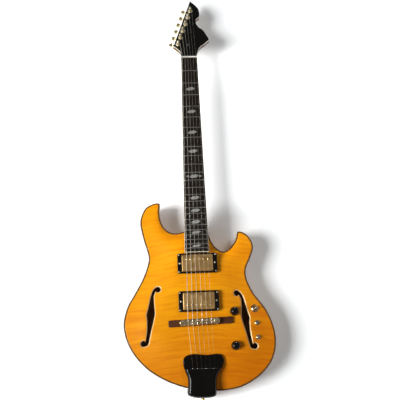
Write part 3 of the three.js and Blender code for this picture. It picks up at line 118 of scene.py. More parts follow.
JACK_Z = -696.2

BODY_OUTER = (
    (-0.244, 0.997), (-0.276, 1), (-0.327, 0.984), (-0.360, 0.954), (-0.382, 0.890), (-0.363, 0.803),
    (-0.329, 0.704), (-0.336, 0.652), (-0.373, 0.575), (-0.425, 0.502), (-0.473, 0.436), (-0.499, 0.353),
    (-0.484, 0.273), (-0.434, 0.193), (-0.348, 0.118), (-0.232, 0.059), (-0.098, 0.019), (0.042, 0.002),
    (0.160, 0), (0.273, 0.018), (0.386, 0.068), (0.464, 0.135), (0.499, 0.214), (0.495, 0.301),
    (0.453, 0.394), (0.374, 0.485), (0.333, 0.563), (0.333, 0.619), (0.366, 0.676), (0.392, 0.740),
    (0.364, 0.796), (0.321, 0.822), (0.288, 0.824))
RIGHT_CUTAWAY = (
    (0.288, 0.824), (0.281, 0.796), (0.266, 0.768), (0.238, 0.740), (0.208, 0.721), (0.178, 0.716),
    (0.149, 0.728), (0.122, 0.750), (0.100, 0.782), (0.089, 0.813), (0.085, 0.833))
LEFT_CUTAWAY = (
    (-0.083, 0.833), (-0.143, 0.825), (-0.190, 0.837), (-0.226, 0.869), (-0.244, 0.909),
    (-0.248, 0.954), (-0.244, 0.997))
HEAD_SIDES = (
    ((0.219, 0), (0.221, 0.054), (0.259, 0.124), (0.334, 0.189), (0.452, 0.238), (0.577, 0.301)),
    ((0.577, 0.301), (0.555, 0.338), (0.483, 0.418), (0.407, 0.480), (0.297, 0.532), (0.244, 0.601),
     (0.249, 0.667), (0.298, 0.695)),
    ((0.298, 0.695), (0.342, 0.719), (0.351, 0.789), (0.328, 0.861), (0.238, 0.927), (0.105, 1)),
    ((-0.395, 0.221), (-0.423, 0.209), (-0.311, 0.152), (-0.229, 0.099), (-0.219, 0.043), (-0.219, 0)))
F_UPPER_OUTER = (
    (0.132, 0.465), (0.085, 0.450), (0.035, 0.385), (0.004, 0.292), (-0.023, 0.177), (-0.046, 0.077),
    (-0.073, -0.002))
F_LOWER_OUTER = ((-0.073, -0.002), (-0.060, -0.092), (-0.063, -0.262), (-0.092, -0.446))
F_LOWER_INNER = (
    (-0.115, -0.528), (-0.058, -0.504), (-0.033, -0.431), (0, -0.285), (0.037, -0.146), (0.073, 0.002))
F_UPPER_INNER = ((0.073, 0.002), (0.064, 0.108), (0.057, 0.208), (0.058, 0.315), (0.090, 0.388))
F_SCROLLS = ((0.132, 0.418), (-0.129, -0.482))
F_SCROLL_RADII = (6.0, 6.3)
TAIL_OUTLINE = (
    (-0.214, 0.995), (0.115, 0.962), (0.403, 0.980), (0.520, 0.935), (0.556, 0.820), (0.525, 0.678),
    (0.438, 0.563), (0.378, 0.454), (0.355, 0.326), (0.347, 0.100), (0.288, 0.022), (0.070, 0),
    (-0.180, 0.018), (-0.340, 0.075), (-0.361, 0.150), (-0.342, 0.300), (-0.345, 0.440), (-0.393, 0.576),
    (-0.436, 0.710), (-0.446, 0.820), (-0.405, 0.935))

# Outlines in X and Z


def scaled(shares, width, height, x=0.0, z=0.0):
    return [(x + u * width, z + v * height) for u, v in shares]


def smooth_line(points, steps):
    """A Catmull-Rom line through points, with its first and last points doubled."""
    line = []
    for i in range(len(points) - 1):
        p = [points[max(i - 1, 0)], points[i], points[i + 1], points[min(i + 2, len(points) - 1)]]
        for k in range(steps):
            t = k / steps
            line.append(tuple(
                0.5 * (2 * b + (c - a) * t + (2 * a - 5 * b + 4 * c - d) * t ** 2
                       + (3 * b - a - 3 * c + d) * t ** 3)
                for a, b, c, d in zip(*p)))
    line.append(tuple(points[-1]))
    return line


def smooth_loop(points, steps=6):
    count = len(points)
    line = smooth_line([points[(i - 3) % count] for i in range(count + 7)], steps)
    return line[3 * steps:(count + 3) * steps]


def respaced(line, spacing, closed=False):
    """The line with its points at an even spacing, ends kept."""
    points = np.array(line + line[:1] if closed else line, float)
    along = np.concatenate([[0], np.cumsum(np.linalg.norm(np.diff(points, axis=0), axis=1))])
    at = np.linspace(0, along[-1], max(2, int(round(along[-1] / spacing))) + 1)
    even = [tuple(float(np.interp(s, along, points[:, k])) for k in (0, 1)) for s in at]
    return even[:-1] if closed else even


def joined(*lines):
    """Lines end to end as one closed loop."""
    same = 0.02
    points = []
    for line in lines:
        for p in line:
            if not points or math.dist(points[-1], p) > same:
                points.append(tuple(p))
    while math.dist(points[0], points[-1]) < same:
        points.pop()
    return points


def offset(loop, distance):
    """The loop moved outwards by a distance along its normals, mitred at corners."""
    following = loop[1:] + loop[:1]
    side = 1 if sum(a[0] * b[1] - b[0] * a[1] for a, b in zip(loop, following)) > 0 else -1
    out = []
    for before, at, after in zip(loop[-1:] + loop[:-1], loop, following):
        d1 = (Vector(at) - Vector(before)).normalized()
        d2 = (Vector(after) - Vector(at)).normalized()
        normal = Vector((d1.y + d2.y, -(d1.x + d2.x))).normalized() * side
        mitre = max(0.6, abs(normal.dot(Vector((d2.y, -d2.x)))))
        out.append((at[0] + normal.x * distance / mitre, at[1] + normal.y * distance / mitre))
    return out


def turns(count):
    """Even angles round a circle."""
    return [TURN * k / count for k in range(count)]


def arc(steps):
    """Sines and cosines at even steps over a quarter turn."""
    return [(math.sin(i / steps * QUARTER), math.cos(i / steps * QUARTER)) for i in range(steps + 1)]


def rounded_rectangle(width, height, radius, x=0.0, z=0.0, steps=6):
    loop = []
    for k, (sx, sz) in enumerate(((1, 1), (-1, 1), (-1, -1), (1, -1))):
        for i in range(steps + 1):
            turn = (k + i / steps) * QUARTER
            loop.append((x + sx * (width / 2 - radius) + radius * math.cos(turn),
                         z + sz * (height / 2 - radius) + radius * math.sin(turn)))
    return loop


def inside(loop, x, z):
    """Which of many points lie inside the loop."""
    hit = np.zeros(np.shape(x), bool)
    for (ax, az), (bx, bz) in zip(loop[-1:] + loop[:-1], loop):
        if az != bz:
            hit ^= ((az > z) != (bz > z)) & (x < ax + (bx - ax) * (z - az) / (bz - az))
    return hit


def distance_to(line, x, z, closed=False):
    nearest = np.full(np.shape(x), 1e9)
    for (ax, az), (bx, bz) in zip(line, line[1:] + line[:1] if closed else line[1:]):
        dx, dz = bx - ax, bz - az
        t = np.clip(((x - ax) * dx + (z - az) * dz) / max(dx * dx + dz * dz, 1e-9), 0, 1)
        nearest = np.minimum(nearest, np.hypot(x - ax - t * dx, z - az - t * dz))
    return nearest


def clipped(loop, level, side):
    """The part of a loop above a height, or below it where side is -1."""
    out = []
    for a, b in zip(loop, loop[1:] + loop[:1]):
        kept = [side * (p[1] - level) >= 0 for p in (a, b)]
        if kept[0]:
            out.append(a)
        if kept[0] != kept[1]:
            t = (level - a[1]) / (b[1] - a[1])
            out.append((a[0] + t * (b[0] - a[0]), level))
    return joined(out)


# Meshes


class Shape:
    """Vertices and faces gathered from several solids; each face has its material's index."""

    def __init__(self, solid=((), ()), place=None, index=0):
        self.verts = []
        self.faces = []
        self.add(solid, place, index)

    def add(self, solid, place=None, index=0):
        """Adds a solid's vertices and faces, placed, with its materials moved on by the index."""
        base = len(self.verts)
        self.verts += [tuple(place @ Vector(v)) if place else tuple(v) for v in solid[0]]
        self.faces += [([base + i for i in f], own + index) for f, own in solid[1]]


def make(name, shape, materials, smooth=32, replaces=None, body="root", recalc=True, even=False):
    """A piece from a shape; even weighs its normals by area."""
    mesh = bpy.data.meshes.new(name)
    mesh.from_pydata([Vector(v) * MM for v in shape.verts], [], [f for f, _ in shape.faces])
    for polygon, (_, index) in zip(mesh.polygons, shape.faces):
        polygon.material_index = index
    if recalc:
        bm = bmesh.new()
        bm.from_mesh(mesh)
        bmesh.ops.recalc_face_normals(bm, faces=bm.faces)
        bm.to_mesh(mesh)
        bm.free()
    mesh.validate()
    mesh.shade_smooth()
    mesh.set_sharp_from_angle(angle=math.radians(smooth))
    piece = bpy.data.objects.new(name, mesh)
    bpy.context.scene.collection.objects.link(piece)
    for material in materials:
        mesh.materials.append(material)
    if body:
        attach(piece, body)
    if replaces:
        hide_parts(replaces)
    if even:
        piece.modifiers.new("normals", "WEIGHTED_NORMAL").keep_sharp = True
    return piece


def rings(stations, closed_ends=True, loop=False):
    """A skin over rings of equal point count."""
    size = len(stations[0])
    count = len(stations)
    faces = []
    for r in range(count if loop else count - 1):
        a, b = r * size, (r + 1) % count * size
        for i in range(size):
            j = (i + 1) % size
            faces.append([a + i, a + j, b + j, b + i])
    if closed_ends and not loop:
        faces.append(list(range(size))[::-1])
        faces.append([(count - 1) * size + i for i in range(size)])
    return [v for ring in stations for v in ring], [(f, 0) for f in faces]


def lipped(outline, rows):
    """Rings round an outline, each at an outward distance and a Y."""
    return [[(x, y, z) for x, z in offset(outline, d)] for d, y in rows]


def plate(loop, front, back, bevel=0.6, back_bevel=0.0, steps=3):
    """A loop filled from front to back in Y, with rounded edges."""
    rows = [(0, front)]
    if bevel:
        rows = [(-bevel * (1 - s), front + bevel * (1 - c)) for s, c in arc(steps)]
    if back_bevel:
        rows += [(-back_bevel * (1 - c), back - back_bevel * (1 - s)) for s, c in arc(steps)]
    else:
        rows.append((0, back))
    return rings(lipped(loop, rows))


def box(x0, x1, y0, y1, z0, z1, bevel=0.3):
    return plate([(x0, z0), (x1, z0), (x1, z1), (x0, z1)], y0, y1, bevel=bevel, back_bevel=bevel, steps=2)


def eased_profile(points, radius):
    """A profile with each inner corner cut by a small chamfer."""
    out = [points[0]]
    for before, at, after in zip(points, points[1:], points[2:]):
        a, p, b = Vector(before), Vector(at), Vector(after)
        ra = min(radius, (a - p).length * 0.45)
        rb = min(radius, (b - p).length * 0.45)
        out.append(tuple(p + (a - p).normalized() * ra))
        out.append(tuple(p + ((a - p).normalized() * ra + (b - p).normalized() * rb) * 0.3))
        out.append(tuple(p + (b - p).normalized() * rb))
    return out + [points[-1]]


def lathe(profile, segments, ease=0.0, wave=0.0, waves=0, wave_rows=()):
    """A profile of radius and height turned about -Y, closed at its ends; wave makes ribs on some rows."""
    stations = []
    for row, (radius, height) in enumerate(eased_profile(profile, ease) if ease else profile):
        ring = []
        for turn in turns(segments):
            r = radius * (1 + wave * math.cos(waves * turn)) if row in wave_rows else radius
            ring.append((r * math.cos(turn), -height, r * math.sin(turn)))
        stations.append(ring)
    return rings(stations)


def tube(path, radius, sides=10):
    """A round tube along a path, which nowhere runs along Y."""
    path = [Vector(p) for p in path]
    stations = []
    for i, here in enumerate(path):
        ahead = (path[min(i + 1, len(path) - 1)] - path[max(i - 1, 0)]).normalized()
        side = ahead.cross(Vector((0, 1, 0))).normalized()
        over = side.cross(ahead)
        stations.append([tuple(here + (side * math.cos(a) + over * math.sin(a)) * radius) for a in turns(sides)])
    return rings(stations)


def screw_head(radius, height):
    """A domed screw head with a slot, standing along -Y from its seat at 0."""
    half = height * 0.5
    rows = [(radius, 0), (radius, half)]
    rows += [(radius * math.cos(t), half + half * math.sin(t)) for t in (0.35, 0.7, 1.05, 1.3)]
    head = Shape(lathe(rows + [(radius * 0.06, height)], 20))
    head.add(box(-radius * 0.8, radius * 0.8, -height * 1.06, -height * 0.9, -radius * 0.13, radius * 0.13,
                 bevel=0.02), index=1)
    return head.verts, head.faces


def moved(x=0.0, y=0.0, z=0.0):
    return Matrix.Translation((x, y, z))


def spun(angle, axis):
    return Matrix.Rotation(angle, 4, axis)


def along(direction, place):
    """Turns the -Y of a lathed piece to a direction."""
    turned = Vector((0, -1, 0)).rotation_difference(Vector(direction)).to_matrix().to_4x4()
    return Matrix.Translation(place) @ turned


IN_HEAD = moved(0, HEAD_DROP, HEAD_PIVOT_Z) @ spun(-HEAD_PITCH, "X")
IN_BRIDGE = moved(BRIDGE_X, 0, BRIDGE_Z) @ spun(-BRIDGE_SLANT, "Y")

# Materials


class Wires:
    """A node tree being wired."""

    def __init__(self, tree):
        self.tree = tree

    def put(self, value, socket):
        if isinstance(value, bpy.types.NodeSocket):
            self.tree.links.new(value, socket)
        else:
            socket.default_value = value

    def node(self, kind, **inputs):
        """A node with its inputs by name, where an underscore stands for a space."""
        made = self.tree.nodes.new("ShaderNode" + kind)
        for key, value in inputs.items():
            self.put(value, made.inputs[key.replace("_", " ")])
        return made

    def feed(self, made, *values):
        """Fills a node's first inputs in order, and gives its first output."""
        for value, socket in zip(values, made.inputs):
            self.put(value, socket)
        return made.outputs[0]

    def math(self, operation, a, b=0.0):
        made = self.node("Math")
        made.operation = operation
        return self.feed(made, a, b)

    def add(self, a, b, share_a=1, share_b=1):
        """Two values added, each times its share."""
        terms = [v if share == 1 else self.math("MULTIPLY", v, share) for v, share in ((a, share_a), (b, share_b))]
        return self.math("ADD", *terms)

    def from_point(self, x, z, centre_x, centre_z):
        """The square of the distance from a point."""
        away = [self.math("POWER", self.math("ADD", v, -centre), 2.0)
                for v, centre in ((x, centre_x), (z, centre_z))]
        return self.math("ADD", *away)

    def range(self, value, low, high, to_low=0.0, to_high=1.0, smooth=False):
        made = self.node("MapRange", Value=value, From_Min=low, From_Max=high, To_Min=to_low, To_Max=to_high)
        if smooth:
            made.interpolation_type = "SMOOTHSTEP"
        return made.outputs["Result"]

    def split(self, vector):
        return self.node("SeparateXYZ", Vector=vector).outputs


class Paint(Wires):
    """A material being wired round its shader."""

    def __init__(self, name, color, roughness=0.4, metallic=0.0, coat=0.0, coat_roughness=0.05, specular=0.5):
        self.material = bpy.data.materials.new(name)
        self.material.use_nodes = True
        self.material.diffuse_color = (*color, 1)
        super().__init__(self.material.node_tree)
        self.shader = self.tree.nodes["Principled BSDF"]
        for key, value in (("Base Color", (*color, 1)), ("Roughness", roughness), ("Metallic", metallic),
                           ("Coat Weight", coat), ("Coat Roughness", coat_roughness),
                           ("Specular IOR Level", specular)):
            self.put(value, self.shader.inputs[key])
        self.position = self.node("TexCoord").outputs["Object"]

    def place(self, scale=1, source=None, location=(0, 0, 0)):
        """Object coordinates in metres, or another source, scaled."""
        scale = scale if isinstance(scale, tuple) else (scale, scale, scale)
        source = self.position if source is None else source
        return self.node("Mapping", Vector=source, Scale=scale, Location=location).outputs["Vector"]

    def noise(self, scale, detail, roughness=0.5, distortion=0.0, source=None, location=(0, 0, 0)):
        made = self.node("TexNoise", Vector=self.place(scale, source, location), Scale=1.0, Detail=detail,
                         Roughness=roughness, Distortion=distortion)
        return made.outputs["Fac"]

    def ramp(self, value, *stops):
        made = self.node("ValToRGB", Fac=value)
        elements = made.color_ramp.elements
        while len(elements) < len(stops):
            elements.new(0.5)
        for element, (at, color) in zip(elements, stops):
            element.position = at
            element.color = (*color, 1)
        return made.outputs["Color"]

    def mix(self, factor, a, b, blend="MIX"):
        made = self.node("Mix")
        made.data_type = "RGBA"
        made.blend_type = blend
        self.put(factor, made.inputs[0])
        for value, socket in ((a, made.inputs[6]), (b, made.inputs[7])):
            self.put((*value, 1) if isinstance(value, tuple) else value, socket)
        return made.outputs[2]

    def finish(self, color, height=None, strength=0.0, distance=0.0001, rough=None):
        self.put(color, self.shader.inputs["Base Color"])
        if rough is not None:
            self.put(rough, self.shader.inputs["Roughness"])
        if height is not None:
            bump = self.node("Bump", Height=height, Strength=strength, Distance=distance)
            self.put(bump.outputs["Normal"], self.shader.inputs["Normal"])
        return self.material


def shade(color, share):
    return tuple(c * share for c in color)


def flamed_maple():
    """Amber lacquer over bookmatched flamed maple: stripes across a grain that runs along Z. Painted shade darkens it
    towards the bottom and right and turns it redder away from the body's middle.
    """
    n = Paint("flamed_maple", (0.86, 0.33, 0.02), roughness=0.45, coat=0.22, coat_roughness=0.035, specular=0.08)
    plain = (1.0, 1.0, 1.0)
    x, _, z = n.split(n.place())
    mirrored = n.math("ABSOLUTE", x)
    leaning = n.add(z, mirrored, 1, 0.10)
    book = n.node("CombineXYZ", X=mirrored, Z=leaning).outputs["Vector"]
    waver = n.noise((14, 1, 16), 2, source=book)
    bent = n.node("CombineXYZ", X=mirrored, Z=n.add(leaning, waver, 1, 0.016)).outputs["Vector"]
    flame = n.noise((11, 1, 165), 3, 0.55, source=bent)
    broad = n.noise((5, 1, 26), 2, source=bent, location=(3, 0, 7))
    stripes = n.range(n.add(flame, broad, 0.75, 0.25), 0.36, 0.64)
    grain = n.noise((900, 1, 14), 3, source=book)
    figure = n.ramp(stripes, (0.0, (0.84, 0.290, 0.001)), (0.5, (0.93, 0.370, 0.002)), (1.0, (0.99, 0.435, 0.003)))
    lines = n.ramp(grain, (0.3, (0.86, 0.80, 0.70)), (0.62, plain))
    # painted shade of the lamp's falloff: darker towards the bottom and right, and redder away from the body's middle
    painted_falloff_shade = n.mix(n.range(n.add(x, z, 0.28, -1.0), 0.48, 0.84), plain, (0.56, 0.40, 0.20))
    painted_falloff_tint = n.mix(n.range(n.from_point(x, z, -0.03, -0.63), 0.004, 0.03), plain, (1.0, 0.88, 0.80))
    color = n.mix(0.35, figure, lines, "MULTIPLY")
    for tint in (painted_falloff_tint, painted_falloff_shade):
        color = n.mix(1.0, color, tint, "MULTIPLY")
    return n.finish(color, n.add(stripes, grain, 0.3, 0.2), 0.05)


def wood(name, dark, light, along=(700, 700, 16), roughness=0.42, coat=0.0, coat_roughness=0.1, pores=0.5,
         strength=0.15, specular=0.4):
    """Straight-grained wood with darker pores, its grain along the least scaled direction."""
    n = Paint(name, light, roughness=roughness, coat=coat, coat_roughness=coat_roughness, specular=specular)
    warp = n.noise((6, 6, 3), 2)
    bands = n.noise(shade(along, 0.1), 4, 0.6, 0.6)
    fine = n.noise(along, 3)
    base = n.ramp(n.add(bands, warp, 0.7, 0.3), (0.35, dark), (0.65, light))
    pore = n.ramp(fine, (0.36, (0.55, 0.5, 0.45)), (0.46, (1, 1, 1)))
    return n.finish(n.mix(pores, base, pore, "MULTIPLY"), fine, strength)


def gloss_black(name, color, roughness):
    n = Paint(name, color, roughness=roughness, coat_roughness=0.03, specular=0.2)
    smear = n.noise(28, 3)
    return n.finish(n.ramp(smear, (0.3, shade(color, 0.8)), (0.7, shade(color, 1.3))), n.noise(60, 2), 0.02, 0.0002,
                    rough=n.range(smear, 0.3, 0.7, roughness * 0.8, roughness * 1.6))


def metal(name, color, dull, roughness=0.22, spread=0.10):
    """Plated metal with duller patches and fine scratches."""
    n = Paint(name, color, roughness=roughness, metallic=1.0)
    patches = n.noise(70, 4, 0.6)
    fine = n.noise(350, 2)
    return n.finish(n.ramp(patches, (0.38, dull), (0.62, color)), fine, 0.06,
                    rough=n.range(n.add(patches, fine, 1, 0.4), 0.45, 0.95, roughness - spread * 0.5,
                                  roughness + spread))


def plastic(name, color, roughness=0.3):
    n = Paint(name, color, roughness=roughness, specular=0.25)
    wear = n.noise(40, 3)
    return n.finish(n.ramp(wear, (0.3, shade(color, 0.75)), (0.7, shade(color, 1.25))), n.noise(500, 2), 0.05,
                    rough=n.range(wear, 0.3, 0.7, roughness * 0.8, roughness * 1.3))


def pearl():
    """Grey shell with soft coloured swirls."""
    n = Paint("pearl_shell", (0.45, 0.46, 0.44), roughness=0.18, coat=0.5)
    swirl = n.noise((150, 150, 110), 3, 0.6, 1.6)
    return n.finish(n.ramp(swirl, (0.30, (0.12, 0.13, 0.12)), (0.45, (0.36, 0.35, 0.33)), (0.55, (0.19, 0.20, 0.18)),
                           (0.68, (0.42, 0.39, 0.35))), rough=n.range(swirl, 0.3, 0.7, 0.12, 0.3))


def wound_string():
    """Round-wound nickel: fine ridges across the string."""
    n = Paint("wound_nickel", (0.56, 0.54, 0.50), roughness=0.45, metallic=1.0)
    wave = n.node("TexWave", Vector=n.place(), Scale=900)
    wave.bands_direction = "Z"
    tarnish = n.noise((120, 120, 24), 3)
    color = n.ramp(tarnish, (0.35, (0.46, 0.43, 0.37)), (0.65, (0.66, 0.62, 0.55)))
    return n.finish(color, wave.outputs["Fac"], 0.35)


def silk_ended():
    """Bronze wire that ends in black silk over the tailpiece."""
    n = Paint("silk_ended_wire", (0.5, 0.35, 0.15), roughness=0.5, metallic=1.0)
    weave = n.noise((900, 900, 500), 2)
    wire = n.ramp(weave, (0.3, (0.48, 0.33, 0.14)), (0.7, (0.62, 0.44, 0.20)))
    silk = n.ramp(weave, (0.3, (0.012, 0.010, 0.008)), (0.7, (0.05, 0.04, 0.03)))
    return n.finish(n.mix(n.range(n.split(n.place())["Z"], -0.7165, -0.7185), wire, silk), weave, 0.2)


MAPLE = flamed_maple()
# pale colour round the f-holes: a painted highlight of the lacquer on their rounded edges
MAPLE_EDGE_HIGHLIGHT = wood("painted_highlight_edge", (0.62, 0.42, 0.18), (0.80, 0.60, 0.32), roughness=0.35, coat=0.6)
EDGE_LINE = wood("dark_edge_line", (0.075, 0.034, 0.006), (0.115, 0.056, 0.011), roughness=0.55, specular=0.2)
SIDE_WOOD = wood("pale_side_wood", (0.50, 0.35, 0.17), (0.68, 0.50, 0.28), along=(420, 420, 11), roughness=0.45,
                 coat=0.25)
MAHOGANY = wood("red_mahogany", (0.13, 0.030, 0.010), (0.26, 0.070, 0.020), along=(420, 420, 11),
                roughness=0.3, coat=1.0, coat_roughness=0.05)
NECK_WOOD = wood("neck_mahogany", (0.055, 0.016, 0.007), (0.12, 0.036, 0.014), along=(520, 520, 13),
                 roughness=0.55, specular=0.25)
EBONY = wood("ebony", (0.005, 0.003, 0.002), (0.015, 0.009, 0.005), along=(800, 800, 20), roughness=0.5,
             pores=0.7, strength=0.25, specular=0.2)
ROSEWOOD = wood("rosewood", (0.026, 0.008, 0.003), (0.090, 0.028, 0.009), along=(22, 700, 700), pores=0.6,
                specular=0.25)
DARK_INSIDE = wood("dark_inside", (0.40, 0.20, 0.075), (0.58, 0.31, 0.13), roughness=0.8)
BLACK_GLOSS = gloss_black("black_lacquer", (0.0025, 0.002, 0.0015), 0.13)
BLACK_PLASTIC = plastic("black_plastic", (0.004, 0.0035, 0.003), 0.2)
CREAM = plastic("cream_binding", (0.72, 0.66, 0.50))
BONE = plastic("bone", (0.80, 0.79, 0.72), 0.35)
GOLD = metal("gold_plate", (0.90, 0.68, 0.32), (0.72, 0.50, 0.20), 0.24)
PALE_GOLD = metal("pale_gold", (0.96, 0.87, 0.64), (0.84, 0.72, 0.46), 0.32)
OLD_GOLD = metal("old_gold", (0.62, 0.44, 0.22), (0.42, 0.27, 0.11))
NICKEL = metal("nickel", (0.86, 0.70, 0.45), (0.62, 0.46, 0.26))
AGED_NICKEL = metal("aged_nickel", (0.74, 0.46, 0.175), (0.58, 0.34, 0.12), 0.37, 0.08)
CHROME = metal("chrome", (0.66, 0.64, 0.61), (0.42, 0.40, 0.37), 0.12, 0.06)
DULL_STEEL = metal("dull_steel", (0.20, 0.20, 0.21), (0.12, 0.12, 0.13), 0.4)
STEEL = metal("steel", (0.55, 0.55, 0.55), (0.40, 0.40, 0.41), 0.3)
FRET_METAL = metal("fret_nickel", (0.46, 0.45, 0.43), (0.36, 0.35, 0.33), 0.34)
PLAIN_STRING = metal("plain_steel", (0.68, 0.66, 0.60), (0.52, 0.50, 0.45), 0.34)
WOUND_STRING = wound_string()
TAIL_WIRE = silk_ended()
PEARL = pearl()
STRING_METALS = [WOUND_STRING] * 3 + [PLAIN_STRING] * 3

# Body


def body_line(shares):
    return respaced(smooth_line(scaled(shares, BODY_WIDTH, BODY_LENGTH, 0, BODY_END_Z), 12), 3.0)


outer_line, right_cutaway, left_cutaway = map(body_line, (BODY_OUTER, RIGHT_CUTAWAY, LEFT_CUTAWAY))
body_outline = joined(outer_line, right_cutaway, left_cutaway)


def arch_y(points):
    """Front surface of the arched top at many points."""
    x, z = np.array(points, float).T
    outer = distance_to(outer_line, x, z) / ARCH_RUN
    cut = np.minimum(distance_to(right_cutaway, x, z), distance_to(left_cutaway, x, z)) / CUTAWAY_RUN
    t = np.clip(np.minimum(outer, cut), 0, 1)
    rise = t * t * (3 - 2 * t)
    return np.where(inside(body_outline, x, z), BODY_EDGE_Y - ARCH_HEIGHT * rise, BODY_EDGE_Y)


def arch_at(x, z):
    return float(arch_y([(x, z)])[0])


def f_hole(x, z, mirror):
    size = (mirror * F_HOLE_LENGTH, F_HOLE_LENGTH, x, z)
    top, low = zip(scaled(F_SCROLLS, *size), F_SCROLL_RADII)
    upper_outer, lower_outer, lower_inner, upper_inner = [
        [p for p in smooth_line(scaled(side, *size), 8) if math.dist(p, centre) > radius]
        for side, (centre, radius) in ((F_UPPER_OUTER, top), (F_LOWER_OUTER, low), (F_LOWER_INNER, low),
                                       (F_UPPER_INNER, top))]

    def scroll(centre, radius, start, end):
        steps = 18
        a, b = (math.atan2(p[1] - centre[1], p[0] - centre[0]) for p in (start, end))
        sweep = (b - a) % TURN if mirror > 0 else -((a - b) % TURN)
        return [(centre[0] + radius * math.cos(a + sweep * i / steps),
                 centre[1] + radius * math.sin(a + sweep * i / steps)) for i in range(steps + 1)]

    return joined(upper_outer, lower_outer, scroll(*low, lower_outer[-1], lower_inner[0]), lower_inner,
                  upper_inner, scroll(*top, upper_inner[-1], upper_outer[0]))


f_holes = [respaced(f_hole(*place), 1.6, closed=True) for place in F_HOLE_PLACES]
pickup_rooms = [rounded_rectangle(*PICKUP_ROOM, 0, z, steps=2) for z in (NECK_PICKUP_Z, BRIDGE_PICKUP_Z)]


def inside_centres(loop, points, triangles):
    """Which triangles have their middle inside a loop."""
    x, z = (np.array([sum(points[i][k] for i in t) / 3 for t in triangles]) for k in (0, 1))
    return inside(loop, x, z)


def plan(loops, boundary, holes, cell, keep_off):
    """A triangulated plan: loops as edges, a grid between them, and only what lies inside."""
    points = []
    edges = []
    tags = []
    for tag, loop in enumerate(loops):
        base = len(points)
        points += [Vector(p) for p in loop]
        tags += [tag] * len(loop)
        edges += [(base + i, base + (i + 1) % len(loop)) for i in range(len(loop))]
    xs = np.arange(-180, 181, cell)
    rows = np.arange(BODY_END_Z - 10, BODY_END_Z + BODY_LENGTH + 10, cell * 0.866)
    x = np.concatenate([xs + (cell / 2 if i % 2 else 0) for i in range(len(rows))])
    z = np.repeat(rows, len(xs))
    free = inside(boundary, x, z)
    for hole in holes:
        free &= ~inside(hole, x, z)
    for loop in loops:
        free &= distance_to(loop, x, z, closed=True) > keep_off
    points += [Vector(p) for p in zip(x[free], z[free])]
    tags += [-1] * int(free.sum())
    out, _, triangles, origin, _, _ = delaunay_2d_cdt(points, edges, [], 0, 1e-5)
    out = [tuple(p) for p in out]
    keep = inside_centres(boundary, out, triangles)
    for hole in holes:
        keep &= ~inside_centres(hole, out, triangles)
    tags = [tags[o[0]] if o and o[0] < len(tags) else -1 for o in origin]
    return out, [t for t, kept in zip(triangles, keep) if kept], tags


def build_top():
    """The carved plate; round each f-hole its loops sink a little, and the rounded edge and the hole's wall take a
    pale colour that paints the lacquer's highlight there.
    """
    rim = offset(body_outline, -3.3)
    loops = [rim, offset(body_outline, -4.2), offset(body_outline, -6.4)]
    for hole in f_holes:
        loops += [hole] + [offset(hole, d) for d in (0.8, 1.8, 3.0)]
    drops = {0: 0.35, 3: 2.0, 4: 0.9, 5: 0.2, 7: 2.0, 8: 0.9, 9: 0.2}
    # the rings round each hole take the pale painted highlight
    highlight_ring_loops = ({3, 4, 5}, {7, 8, 9})
    points, triangles, tags = plan(loops + pickup_rooms, rim, f_holes + pickup_rooms, 4.6, 1.7)
    x, z = np.array(points).T
    y = arch_y(points)
    # the creases where two sides of the arch meet are eased
    a = np.array(triangles).ravel()
    b = np.roll(triangles, -1, axis=1).ravel()
    free = distance_to(body_outline, x, z, closed=True) > 9
    for _ in range(14):
        total = np.zeros(len(x))
        count = np.zeros(len(x))
        for one, other in ((a, b), (b, a)):
            np.add.at(total, one, y[other])
            np.add.at(count, one, 1)
        y = np.where(free, 0.4 * y + 0.6 * total / np.maximum(count, 1), y)
    top = Shape()
    top.verts = [(px, float(py + drops.get(tag, 0.0)), pz) for (px, pz), py, tag in zip(points, y, tags)]
    top.verts += [(px, float(max(min(py + 6, TOP_INNER_Y), py + 2.5)), pz) for (px, pz), py in zip(points, y)]
    size = len(points)
    for t in triangles:
        ring_tags = {tags[i] for i in t}
        top.faces.append((list(t), int(any(ring_tags <= loops for loops in highlight_ring_loops))))
        top.faces.append(([i + size for i in reversed(t)], 2))
    sides = dict.fromkeys((t[i], t[(i + 1) % 3]) for t in triangles for i in range(3))
    for p, q in sides:
        if (q, p) not in sides:
            top.faces.append(([q, p, p + size, q + size], int(tags[p] in (3, 7))))
    return top


make("top", build_top(), [MAPLE, MAPLE_EDGE_HIGHLIGHT, DARK_INSIDE], 50, "body_top", recalc=False)

edge = Shape(rings(lipped(body_outline, [(-3.5, 17.3), (-1.8, 17.0), (-0.7, 17.1), (-0.2, 17.5), (0, 18.2), (0, 18.6),
                                         (-3.5, 18.6)]), loop=True))
edge.add(rings(lipped(body_outline, [(-3.5, 18.6), (0, 18.6), (0, 21.6), (-3.5, 21.6)]), loop=True), index=1)
make("top_edge", edge, [EDGE_LINE, CREAM], 60, "body_edge_strip")

control_cover = smooth_loop([(72, -622), (96, -612), (126, -616), (140, -640), (136, -672), (112, -708),
                             (84, -722), (62, -712), (60, -680), (64, -648)])


